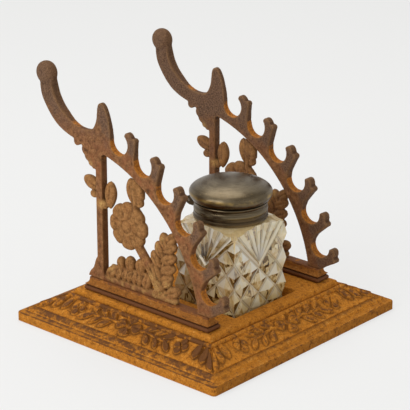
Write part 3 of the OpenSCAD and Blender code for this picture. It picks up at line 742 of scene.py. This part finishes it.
def vertex_normals(points, faces):
    """The mean normal of the quads round each point."""
    quads = points[np.array(faces)]
    flat = np.cross(quads[:, 2] - quads[:, 0], quads[:, 3] - quads[:, 1])
    total = np.zeros_like(points)
    for k in range(4):
        for axis in range(3):
            total[:, axis] += np.bincount(np.array(faces)[:, k], flat[:, axis], len(points))
    return total / np.maximum(np.linalg.norm(total, axis=1), 1e-9)[:, None]


def fade(value, start, end):
    """0 at start and before it, 1 at end and past it, straight between them."""
    return np.clip((value - start) / (end - start), 0, 1)


def patches_at(spots):
    """Soft round patches on the casting, from 0 to 1."""
    mark = np.zeros(len(cast_points))
    for y, z, reach in spots:
        mark = np.maximum(mark, np.exp(-((along - y) ** 2 + (above - z) ** 2) / reach ** 2))
    return mark


# The finish reads these marks: painted shade in creases and wear with a painted highlight on proud edges,
# both from how the skin bends; side on the plate's walls, for rust and painted shade; leafy on the spray;
# gilt, handled and rusty by place.
links = neighbours(cast_faces)
cast_points = relax(cast_points, links, 0.5, 2)
normals = vertex_normals(cast_points, cast_faces)
bent = np.sum((relax(cast_points, links, 0.6, 10) - cast_points) * normals, axis=1)
bent = relax(bent[:, None], links, 0.5, 2)[:, 0]
# Painted shade in the creases between lobes, petals and stems.
painted_shade = np.clip(bent / 0.14, 0, 1)
# Proud edges: rubbed wear and a painted highlight.
proud_wear_and_glint = np.clip(-bent / 0.35, 0, 1)
sideways = relax(1 - np.abs(normals[:, :1]), links, 0.5, 2)[:, 0]
nearest = KDTree(len(spray_points))
for i, point in enumerate(spray_points):
    nearest.insert(point, i)
nearest.balance()
leafy = np.array([nearest.find(point)[2] < 1.0 for point in cast_points], float)
leafy = relax(leafy[:, None], links, 0.5, 4)[:, 0]
along, above = cast_points[:, 1] - post_front, cast_points[:, 2] - rail_top
painted_shade *= 1 - 0.45 * (np.hypot(along - rose[0], above - rose[1]) < 8.5)
gilt = np.maximum(patches_at(gilt_spots), 0.6 * fade(above, 3.4, 1.8) * leafy)
outwards = np.hypot(along - arc_at[0], above - arc_at[1]) - notch_arc
handled_and_shade = np.maximum(fade(above, 62, 112), 0.72 * fade(outwards, -5, 1) * (along < 0))
# Rust lies in the deep half of each notch and in a few other places, on walls that face upwards.
rusty = patches_at(rust_spots)
for k in range(notches):
    bearing = first_notch + k * notch_pitch / notch_arc
    across = along - arc_at[0] - notch_arc * math.cos(bearing)
    up = above - arc_at[1] - notch_arc * math.sin(bearing)
    inner_half = np.clip(0.5 - (across * math.cos(bearing) + up * math.sin(bearing)) / 5, 0, 1)
    rusty = np.maximum(rusty, np.exp(-((np.hypot(across, up) - notch_radius) / 0.9) ** 2) * inner_half)
rusty = rusty * np.clip(sideways * 1.6, 0, 1) * np.clip(normals[:, 2] * 1.6 + 0.5, 0, 1)
# The plate thins towards its top. The rear arm thickens again below its knob, which stays round.
toward_knob = fade(above, 78, 100) * fade(along, 19, 29)
slim = 1 - 0.28 * fade(above, 74, 84) * (1 - toward_knob) + 0.16 * toward_knob
slim = slim - 0.16 * fade(above, 82, 96) ** 2 * (along < 25)
from_knob = np.hypot(cast_points[:, 1] - knob_at[0], cast_points[:, 2] - knob_at[1])
cast_points[:, 0] *= slim + (1 - slim) * fade(from_knob, 7.4, 5.4)
for side in ("left", "right"):
    low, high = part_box(f"{side}_rack")
    shift = np.array([(low.x + high.x) / 2 / mm, 0, 0])
    # The right rack takes more of the handled grey, as painted shade.
    grey_and_shade = handled_and_shade + (right_rack_shade if side == "right" else 0.0)
    made = piece(f"{side}_casting", cast_points + shift, cast_faces, "root", brown_skin, None,
                 {"painted_shade": painted_shade, "proud_wear_and_glint": proud_wear_and_glint, "side": sideways, "rusty": rusty, "handled_and_shade": grey_and_shade,
                  "leafy": leafy, "gilt": gilt})
    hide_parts(f"{side}_rack", f"{side}_spray")

# Rack screws
# Four slotted steel screws, put in from under the tray, hold the two rails down. Their heads
# are dull, with rust in patches.
screw_steel, tree, shader = finish_on("screw_steel", 0.55, metallic=0.8)
dull = ramp(tree, cloud(tree, 1.2, 5), (0.35, colour(96, 74, 58)), (0.62, colour(128, 108, 90)),
            (0.75, colour(140, 84, 40)))
tree.links.new(dull, shader.inputs["Base Color"])
grain(tree, shader, cloud(tree, 0.5, 4), 0.05)


def dress(node, material):
    """Gives a CAD node that stays in view its finish."""
    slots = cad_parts[node].material_slots
    if slots:
        for held in slots:
            held.material = material
    else:
        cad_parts[node].data.materials.append(material)


dress("rack_screws", screw_steel)

# Glass well
# Clear glass pressed in a square mould and cut crisp: a lattice of pyramids below, a fan over
# the middle of each face and a plain sloped shoulder. It stands loose in the pan.
glass_low, glass_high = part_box("glass_well")
well_middle = np.array([0, (glass_low.y + glass_high.y) / 2 / mm, 0])
well_half = (glass_high.x - glass_low.x) / 2 / mm
well_foot, well_top = glass_low.z / mm, glass_high.z / mm
shoulder_top = well_top - 3.4
corner_drop = 5.0
collar_out, neck_out, ink_radius, glass_floor, ink_round = 21.0, 18.0, 14.5, 9.0, 5
ink_foot = well_foot + glass_floor + ink_round
cell = 2 * well_half / 3
cut = 1.7
fan_root = well_foot + 30.0
lattice_foot = well_foot - 3.5
fan_point = lattice_foot + 2 * cell
fan_angles = (47.5, 64.5, 81.5, 98.5, 115.5, 132.5)
fan_lines = np.radians(fan_angles)
fan_steps = 2 * (len(fan_lines) - 1)
fan_half_gap = math.radians((fan_angles[1] - fan_angles[0]) / 2)
fan_ridge, fan_band = 0.55, 2.4


def shoulder_edge(s):
    """Height of the face's top edge, where the turned shoulder meets it."""
    reach = np.hypot(s, well_half)
    return shoulder_top - (reach - collar_out) / (well_half * math.sqrt(2) - collar_out) * corner_drop


def face_depth(s, z):
    """How far the face is cut in at s across and z up, in millimetres."""
    up = z - lattice_foot
    pitch = cell / math.sqrt(2)
    a, b = (s + up) / math.sqrt(2), (s - up) / math.sqrt(2)
    near = min(abs(a / pitch - round(a / pitch)), abs(b / pitch - round(b / pitch))) * pitch
    lattice = cut * (1 - near / (pitch / 2))
    if z - fan_point < abs(s) + 1e-6:
        return lattice
    rise = z - fan_root
    angle = math.atan2(rise, s)
    if rise < 1e-6 or angle < fan_lines[0] - 1e-6 or angle > fan_lines[-1] + 1e-6:
        edge = rise * math.cos(fan_lines[0]) - abs(s) * math.sin(fan_lines[0])
        band = min((z - fan_point - abs(s)) / math.sqrt(2), -edge)
        return cut * (1 - band / fan_band)
    gap = min(abs(angle - line) for line in fan_lines) / fan_half_gap
    return cut * (1 - fan_ridge * gap)


face = bmesh.new()
outline = [(-well_half, well_foot), (well_half, well_foot)]
outline += [(s, shoulder_edge(s)) for s in np.linspace(well_half, -well_half, 25)]
face.faces.new([face.verts.new((s, z, 0)) for s, z in outline])


def slice_face(point, direction):
    """Cuts the flat face along the line through point that has this direction square to it."""
    bmesh.ops.bisect_plane(face, geom=face.verts[:] + face.edges[:] + face.faces[:], dist=1e-4,
                           plane_co=(*point, 0), plane_no=(*direction, 0))


for k in range(-8, 9):
    slice_face((k * cell, lattice_foot), (1, 1))
    slice_face((k * cell, lattice_foot), (1, -1))
    slice_face((k * cell / 2, 0), (1, 0))
    slice_face((0, lattice_foot + k * cell / 2), (0, 1))
for k in range(fan_steps + 1):
    angle = fan_lines[0] + (fan_lines[-1] - fan_lines[0]) * k / fan_steps
    slice_face((0, fan_root), (math.sin(angle), -math.cos(angle)))
for side in (1, -1):
    between = math.radians(90 - side * (90 - (45 + fan_angles[0]) / 2))
    slice_face((0, (fan_root + fan_point) / 2), (math.sin(between), -math.cos(between)))
bmesh.ops.triangulate(face, faces=face.faces)
flat = [tuple(v.co.xy) for v in face.verts]
face.verts.index_update()
flat_faces = [tuple(v.index for v in f.verts) for f in face.faces]
face.free()
well_parts = []
for cosine, sine in quarter_turns:
    side_points = []
    for s, z in flat:
        depth = face_depth(s, z)
        x, y = s, depth - well_half
        if abs(abs(s) - well_half) < 1e-4:
            x = math.copysign(well_half - depth, s)
        side_points.append((cosine * x - sine * y, sine * x + cosine * y, z))
    well_parts.append((np.array(side_points), flat_faces))
sides_points, sides_faces = gather(well_parts)
shell = bmesh.new()
verts = [shell.verts.new(p) for p in sides_points]
for f in sides_faces:
    shell.faces.new([verts[i] for i in f])
bmesh.ops.remove_doubles(shell, verts=shell.verts, dist=1e-3)


def rim_loop(want_top):
    """The open edge's points at the top or at the foot, in order round the well."""
    rim = {v for e in shell.edges if e.is_boundary for v in e.verts}
    chosen = [v for v in rim if (v.co.z > fan_root) == want_top]
    return sorted(chosen, key=lambda v: math.atan2(v.co.y, v.co.x))


def join_row(before, row):
    """Closes the gap between two rows with quads."""
    for i in range(len(row)):
        j = (i + 1) % len(row)
        shell.faces.new((before[i], before[j], row[j], row[i]))
    return row


top_loop, foot_loop = rim_loop(True), rim_loop(False)
shell.faces.new(foot_loop)
previous = top_loop
edge_reach = [math.hypot(v.co.x, v.co.y) for v in top_loop]
edge_z = [v.co.z for v in top_loop]
bearing = [math.atan2(v.co.y, v.co.x) for v in top_loop]
for t in (0.12, 0.3, 0.5, 0.7, 0.88, 1.0):
    row = []
    for reach, z, angle in zip(edge_reach, edge_z, bearing):
        r = reach + (neck_out + 0.5 - reach) * t
        rise = z + (shoulder_top - z) * (1 - (1 - t) ** 1.25)
        row.append(shell.verts.new((r * math.cos(angle), r * math.sin(angle), rise)))
    previous = join_row(previous, row)
neck = [(neck_out, shoulder_top + 0.4), (neck_out, well_top - 0.4), (neck_out - 0.4, well_top),
        (ink_radius + 0.4, well_top), (ink_radius, well_top - 0.4), (ink_radius, ink_foot)]
neck += [(ink_radius - ink_round + ink_round * math.cos(a), ink_foot - ink_round * math.sin(a))
         for a in np.radians((15, 30, 45, 60, 75, 90))]
for r, z in neck:
    row = [shell.verts.new((r * math.cos(a), r * math.sin(a), z)) for a in bearing]
    previous = join_row(previous, row)
shell.faces.new(previous)
shell.verts.index_update()
glass_points = np.array([tuple(v.co) for v in shell.verts]) + well_middle
glass_faces = [tuple(v.index for v in f.verts) for f in shell.faces]
shell.free()
well_glass, tree, shader = finish_on("well_glass", 0.05)
shader.inputs["Transmission Weight"].default_value = 0.36
shader.inputs["IOR"].default_value = 1.48
shader.inputs["Coat Weight"].default_value = 0.5
shader.inputs["Coat Roughness"].default_value = 0.04


def shards(tree, size, stretch):
    """Straight-edged patches of a random shade each, a painted picture of the far facets seen through cut
    glass.
    """
    place = put(tree, "ShaderNodeTexCoord").outputs["Object"]
    place = put(tree, "ShaderNodeMapping", {"Vector": place, "Scale": stretch}).outputs[0]
    patch = put(tree, "ShaderNodeTexVoronoi", {"Vector": place, "Scale": 1 / (size * mm)})
    return put(tree, "ShaderNodeSeparateColor", {"Color": patch.outputs["Color"]}).outputs[0]


large, small = shards(tree, 4.4, (1, 1, 0.7)), shards(tree, 1.6, (1, 1, 0.6))
far = plus(tree, sums(tree, "MULTIPLY", large, 0.55), small, 0.45)
# The glass's colour carries painted light: each facet's painted light and shade, and where busy the painted
# far facets.
light = blend(tree, attribute(tree, "busy"), attribute(tree, "facet_painted_light"), far)
tint = ramp(tree, light, (0.14, colour(58, 40, 16)), (0.30, colour(146, 116, 66)),
            (0.44, colour(232, 204, 148)), (0.62, colour(255, 242, 204)), (1.0, colour(255, 252, 240)))
place = put(tree, "ShaderNodeTexCoord").outputs["Object"]
height = put(tree, "ShaderNodeSeparateXYZ", {"Vector": place}).outputs[2]
# Yellower towards the foot.
low_down = step(tree, height, (well_foot + 34) * mm, well_foot * mm)
tint = stain(tree, tint, colour(236, 214, 140), low_down, 0.6, "MULTIPLY")
cut_in = attribute(tree, "cut_in")
# A painted dark border and a painted bright line run along the bottoms of the cut grooves.
tint = stain(tree, tint, colour(120, 94, 54), step(tree, cut_in, 0.80, 0.90), 0.5)
tint = stain(tree, tint, colour(240, 224, 186), step(tree, cut_in, 0.90, 0.95), 0.7)
tree.links.new(tint, shader.inputs["Base Color"])
grain(tree, shader, cloud(tree, 2.2, 2, 0.4), 0.02)
face_top = well_foot + 54
reach = np.abs(glass_points[:, :2] - well_middle[:2]).max(axis=1)
on_face = (reach > well_half - cut - 0.01) & (glass_points[:, 2] < face_top)
cut_in = np.where(on_face, (well_half - reach) / cut, 0.3)
well = piece("well_glass_body", glass_points, glass_faces, "well", well_glass, 12,
             {"cut_in": cut_in})
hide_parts("glass_well")

# A cut facet gets a painted light and shade from its slant and from a draw that facets in one plane share. A
# busy one shows a painted picture of the far facets. The shoulder, the neck and the inside share one (facet
# light, busy).
smooth_light = (0.46, 0.12)
fan_shade, fan_lighter, fan_busy = 0.58, 0.12, 0.2
lattice_shade, busy, quiet = (0.66, 0.60), 0.8, 0.34
pick = np.random.default_rng(11)
drawn, light = {}, []
for polygon in well.data.polygons:
    normal = np.array(polygon.normal)
    middle = np.array(polygon.center) / mm - well_middle
    side = int(abs(middle[1]) > abs(middle[0]))
    s, z = middle[1 - side], middle[2]
    if middle[side] * normal[side] < 0 or abs(middle[side]) < well_half - cut - 0.6 or normal[2] > 0.75:
        light.append(smooth_light)
        continue
    lean = normal[1 - side] * (1 if side else -1) * math.copysign(1, middle[side])
    key = (*np.round(normal * 4).astype(int).tolist(), round(float(normal @ middle) / 1.5))
    drawn.setdefault(key, (pick.uniform(-0.4, 0.36), pick.uniform(0, 1)))
    shade, chance = drawn[key]
    if z - fan_point > abs(s):
        light.append((fan_shade + 0.65 * lean + 0.5 * shade + (fan_lighter if side == 0 else 0.0), fan_busy))
    else:
        light.append((lattice_shade[side] + 0.9 * normal[2] + 0.35 * lean + 1.1 * shade,
                      busy if chance > 0.5 else quiet))
for name, values in zip(("facet_painted_light", "busy"), zip(*light)):
    well.data.attributes.new(name, "FLOAT", "FACE").data.foreach_set("value", np.array(values, np.float32))

# Cement ring
# A ring of plaster, cast between the glass neck and the collar, is what holds the brass on. It is
# dry and chalky, and the collar covers it.
plaster, tree, shader = finish_on("dry_plaster", 0.9, specular=0.2)
chalk = ramp(tree, cloud(tree, 1.0, 6), (0.35, colour(196, 186, 160)), (0.65, colour(224, 216, 194)))
tree.links.new(chalk, shader.inputs["Base Color"])
grain(tree, shader, cloud(tree, 0.4, 5), 0.06)
dress("collar_cement", plaster)

# Collar
# A ring of spun brass with a bead rolled into it, tarnished nearly black. Its lip covers the
# top of the glass neck.
def tarnish(name, dark, mid, bright, roughness):
    """Brass turned in the lathe: fine rings, even tarnish, gold where the mark is over 0 and dark under 0,
    for rubbed edges, painted highlights, painted reflections and painted shade.
    """
    material, tree, shader = finish_on(name, roughness, metallic=1.0)
    rings = cloud(tree, 0.35, 3, 0.6, stretch=(0.06, 0.06, 3.0))
    broad = cloud(tree, 11, 4)
    shade = ramp(tree, broad, (0.38, [(a + 2 * b) / 3 for a, b in zip(dark, mid)]), (0.56, mid))
    shade = stain(tree, shade, dark, step(tree, rings, 0.44, 0.66), 0.4)
    rub_and_painted_light = attribute(tree, "rub_and_painted_light")
    patchy = sums(tree, "MULTIPLY", step(tree, rub_and_painted_light, 0.05, 1.0), step(tree, broad, 0.36, 0.58))
    shade = blend(tree, patchy, shade, bright)
    shade = blend(tree, step(tree, rub_and_painted_light, -0.05, -1.0), shade, dark)
    shade = stain(tree, shade, bright, step(tree, cloud(tree, 0.7, 4, 0.6), 0.64, 0.72), 0.5)
    tree.links.new(shade, shader.inputs["Base Color"])
    roughen(tree, shader, broad, roughness - 0.04, roughness + 0.08)
    grain(tree, shader, rings, 0.012)
    return material


spin_steps = 160


def spin(profile):
    """Turns (radius, height, rub and painted light) points into rings of points and their marks."""
    points, rub_and_painted_light = [], []
    for r, z, rub_and_light in profile:
        for a in np.linspace(0, 2 * math.pi, spin_steps, endpoint=False):
            points.append((r * math.cos(a), r * math.sin(a) + well_middle[1], z))
            rub_and_painted_light.append(rub_and_light)
    return np.array(points), rub_and_painted_light


collar_brass = tarnish("collar_brass", colour(46, 38, 28), colour(82, 68, 50), colour(150, 120, 70), 0.34)
collar_low, collar_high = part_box("neck_collar")
foot_z, top_z = collar_low.z / mm, collar_high.z / mm
tall = top_z - foot_z
inside = collar_out - 1.2
# The third values lay gold on the collar's edges and bead: rubbed brass and a painted highlight.
profile = [(inside, foot_z, 0), (collar_out - 0.15, foot_z, 0.1), (collar_out + 0.1, foot_z + 0.25, 0.5),
           (collar_out + 0.1, foot_z + tall * 0.36, 0.1), (collar_out - 0.15, foot_z + tall * 0.43, 0),
           (collar_out - 0.5, foot_z + tall * 0.5, 0), (collar_out - 0.5, foot_z + tall * 0.56, 0),
           (collar_out - 0.2, foot_z + tall * 0.62, 0.1), (collar_out - 0.1, foot_z + tall * 0.72, 0.3),
           (collar_out - 0.1, top_z - 0.35, 0.1), (collar_out - 0.4, top_z, 0.6), (inside - 3.2, top_z, 0),
           (inside - 3.2, top_z - 1.0, 0), (inside, top_z - 1.0, 0)]
points, rub_and_painted_light = spin(profile)
collar = piece("collar_ring", points, ring_faces(len(profile), spin_steps, closed=True), "well",
               collar_brass, 30, {"rub_and_painted_light": rub_and_painted_light})
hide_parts("neck_collar")

# Hinge
# Two knuckles soldered to the collar and one to the lid turn on a steel pin behind the well. The
# leaves are brass, with the tarnish of what they are soldered to.
lid_brass = tarnish("lid_brass", colour(50, 38, 20), colour(112, 100, 80), colour(164, 134, 72), 0.3)
pin_steel, tree, shader = finish_on("pin_steel", 0.45, metallic=0.9)
dull = ramp(tree, cloud(tree, 0.8, 4), (0.35, colour(110, 100, 88)), (0.65, colour(150, 138, 120)))
tree.links.new(dull, shader.inputs["Base Color"])
dress("collar_hinge", collar_brass)
dress("lid_hinge", lid_brass)
dress("hinge_pin", pin_steel)

# Lid
# A dome spun from thin brass, full at the edge and nearly flat on top, soldered on a coved rim.
# It is brushed olive and grey, with a painted reflection in gold where the bulge turns under and painted dark
# bands above and below it.
rim_low, rim_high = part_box("lid_rim")
low_z, high_z = rim_low.z / mm, rim_high.z / mm
tall = high_z - low_z
inner = collar_out - 2.0
# The third values lay painted shade in the cove and under the dome's edge, and painted highlights on the
# rim's edges.
profile = [(inner, low_z, 0), (collar_out - 0.25, low_z, 0.2), (collar_out, low_z + 0.25, 0.6),
           (collar_out - 0.05, low_z + 0.8, 0.0)]
cove_painted_light = (0.0, -0.2, -0.4, -0.6, -0.5, -0.3, 0.0, 0.2, 0.3)
profile += [(collar_out + 1.2 - 2.05 * math.cos(a), low_z + tall * 0.52 + 1.7 * math.sin(a), rub_and_light)
            for a, rub_and_light in zip(np.radians(np.linspace(-50, 50, 9)), cove_painted_light)]
profile += [(collar_out + 0.25, high_z - 0.5, 0.2), (collar_out, high_z - 0.1, -0.8), (inner, high_z, 0)]
points, rub_and_painted_light = spin(profile)
lid_rim = piece("lid_rim_ring", points, ring_faces(len(profile), spin_steps, closed=True), "lid",
                lid_brass, 40, {"rub_and_painted_light": rub_and_painted_light})
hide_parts("lid_rim")

dome_low, dome_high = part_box("lid_dome")
dome_radius = (dome_high.x - dome_low.x) / 2 / mm
bulge, sheet, foot_angle = 4.6, 1, -50
widest = dome_low.z / mm + bulge
crown = dome_high.z / mm - widest


def dome_line(radius, low, top):
    """The dome's outline from its foot over the bulge to the crown, as (radius, height, painted reflection).
    """
    under, over = np.linspace(foot_angle, 0, 11), np.linspace(4, 86, 24)
    line = [(radius * math.cos(a) * 0.35 + radius * 0.65,
             widest + low * math.sin(a) / -math.sin(math.radians(foot_angle))) for a in np.radians(under)]
    line += [(radius * math.cos(a), widest + top * math.sin(a)) for a in np.radians(over)]
    painted_reflection = list(np.interp(under, (foot_angle, -36, -18, 0), (-1, -0.8, 0.0, 0.7)))
    painted_reflection += list(np.interp(over, (4, 12, 22, 34, 50, 86), (0.6, 0.1, -0.5, -0.3, 0, 0)))
    return [(*point, rub_and_light) for point, rub_and_light in zip(line, painted_reflection)]


def crowned(profile, top_row, height):
    """Spins an open profile, and closes it from its top row to a point on the axis."""
    points, rub_and_painted_light = spin(profile)
    points = np.concatenate([points, [(0, well_middle[1], height)]])
    faces = ring_faces(len(profile), spin_steps, closed=False)[:-2]
    first, tip = top_row * spin_steps, len(points) - 1
    faces += [(first + i, first + (i + 1) % spin_steps, tip) for i in range(spin_steps)]
    return points, faces, rub_and_painted_light + [0.0]


outside = [(inner, widest - bulge, 0)] + dome_line(dome_radius, bulge, crown)
within = dome_line(dome_radius - sheet, bulge - 0.5, crown - sheet)[::-1]
within.append((inner, widest - bulge + sheet, 0))
points, faces, rub_and_painted_light = crowned(outside, len(outside) - 1, dome_high.z / mm)
inside_points, inside_faces, inside_rub_and_painted_light = crowned(within, 0, dome_high.z / mm - sheet)
last = len(points) + (len(within) - 1) * spin_steps
foot_ring = [(last + i, last + (i + 1) % spin_steps, (i + 1) % spin_steps, i) for i in range(spin_steps)]
points, faces = gather([(points, faces), (inside_points, inside_faces)])
dome = piece("lid_dome_spun", points, faces + foot_ring, "lid", lid_brass, 40,
             {"rub_and_painted_light": rub_and_painted_light + inside_rub_and_painted_light})
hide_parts("lid_dome")

# Table, light and camera
# A pale seamless ground, soft lights to the left, above and in front, and the lens of the
# photograph: long, a little above the object, and square on its front left corner.
backdrop = colour(237, 237, 236)
ground_half, glow_share, sensor, focal_length = 6.0, 0.72, 36.0, 162.85
lamp_aim = Vector((0, 0, 0.05))


def seen_rays(tree):
    """1 for a ray from the lens, straight, reflected or through glass, and 0 for one that only lights."""
    path = put(tree, "ShaderNodeLightPath").outputs
    seen = sums(tree, "MAXIMUM", path["Is Camera Ray"], path["Is Glossy Ray"])
    return sums(tree, "MAXIMUM", seen, path["Is Transmission Ray"])


ground, tree, shader = finish_on("pale_ground", 0.9, specular=0.0)
soft = ramp(tree, cloud(tree, 300, 2), (0.3, colour(236, 236, 235)), (0.7, colour(238, 238, 237)))
tree.links.new(soft, shader.inputs["Base Color"])
glow = put(tree, "ShaderNodeEmission", {"Color": backdrop, "Strength": 1.0}).outputs[0]
share = sums(tree, "MULTIPLY", seen_rays(tree), glow_share)
mixed = put(tree, "ShaderNodeMixShader", {"Fac": share, 1: shader.outputs[0], 2: glow}).outputs[0]
tree.links.new(mixed, tree.nodes["Material Output"].inputs["Surface"])
plane = bpy.data.meshes.new("ground")
plane.from_pydata([(x * ground_half, y * ground_half, 0) for x, y in ((-1, -1), (1, -1), (1, 1), (-1, 1))],
                  [], [(0, 1, 2, 3)])
plane.materials.append(ground)
floor = bpy.data.objects.new("ground", plane)
bpy.context.collection.objects.link(floor)

world = bpy.data.worlds.new("studio")
bpy.context.scene.world = world
world.use_nodes = True
tree = world.node_tree
sky = tree.nodes["Background"]
sky.inputs["Color"].default_value = backdrop
level = put(tree, "ShaderNodeMapRange", {"Value": seen_rays(tree), "To Min": 0.68, "To Max": 1.0})
tree.links.new(level.outputs[0], sky.inputs["Strength"])


def softbox(name, place, size, power):
    """A square lamp that faces the well."""
    lamp = bpy.data.lights.new(name, "AREA")
    lamp.shape = "RECTANGLE"
    lamp.size, lamp.size_y = size, size
    lamp.energy = power
    holder = bpy.data.objects.new(name, lamp)
    bpy.context.collection.objects.link(holder)
    holder.location = place
    holder.rotation_euler = (lamp_aim - Vector(place)).to_track_quat("-Z", "Y").to_euler()


softbox("key", (-1.0, 0.1, 0.6), 0.8, 6.0)
softbox("top", (0.1, 0.3, 1.1), 0.9, 6.0)
softbox("front", (0.1, -1.1, 0.5), 0.6, 0.8)

azimuth, elevation, distance = math.radians(-48.136), math.radians(20.175), 1.054484
target = Vector((0, -0.003147, 0.067003))
back = Vector((math.sin(azimuth) * math.cos(elevation), -math.cos(azimuth) * math.cos(elevation),
               math.sin(elevation)))
lens = bpy.data.cameras.new("camera")
lens.sensor_width = sensor
lens.lens = focal_length
camera = bpy.data.objects.new("camera", lens)
bpy.context.collection.objects.link(camera)
camera.location = target + back * distance
camera.rotation_euler = (-back).to_track_quat("-Z", "Y").to_euler()
bpy.context.scene.camera = camera
bpy.context.scene.view_settings.view_transform = "Standard"
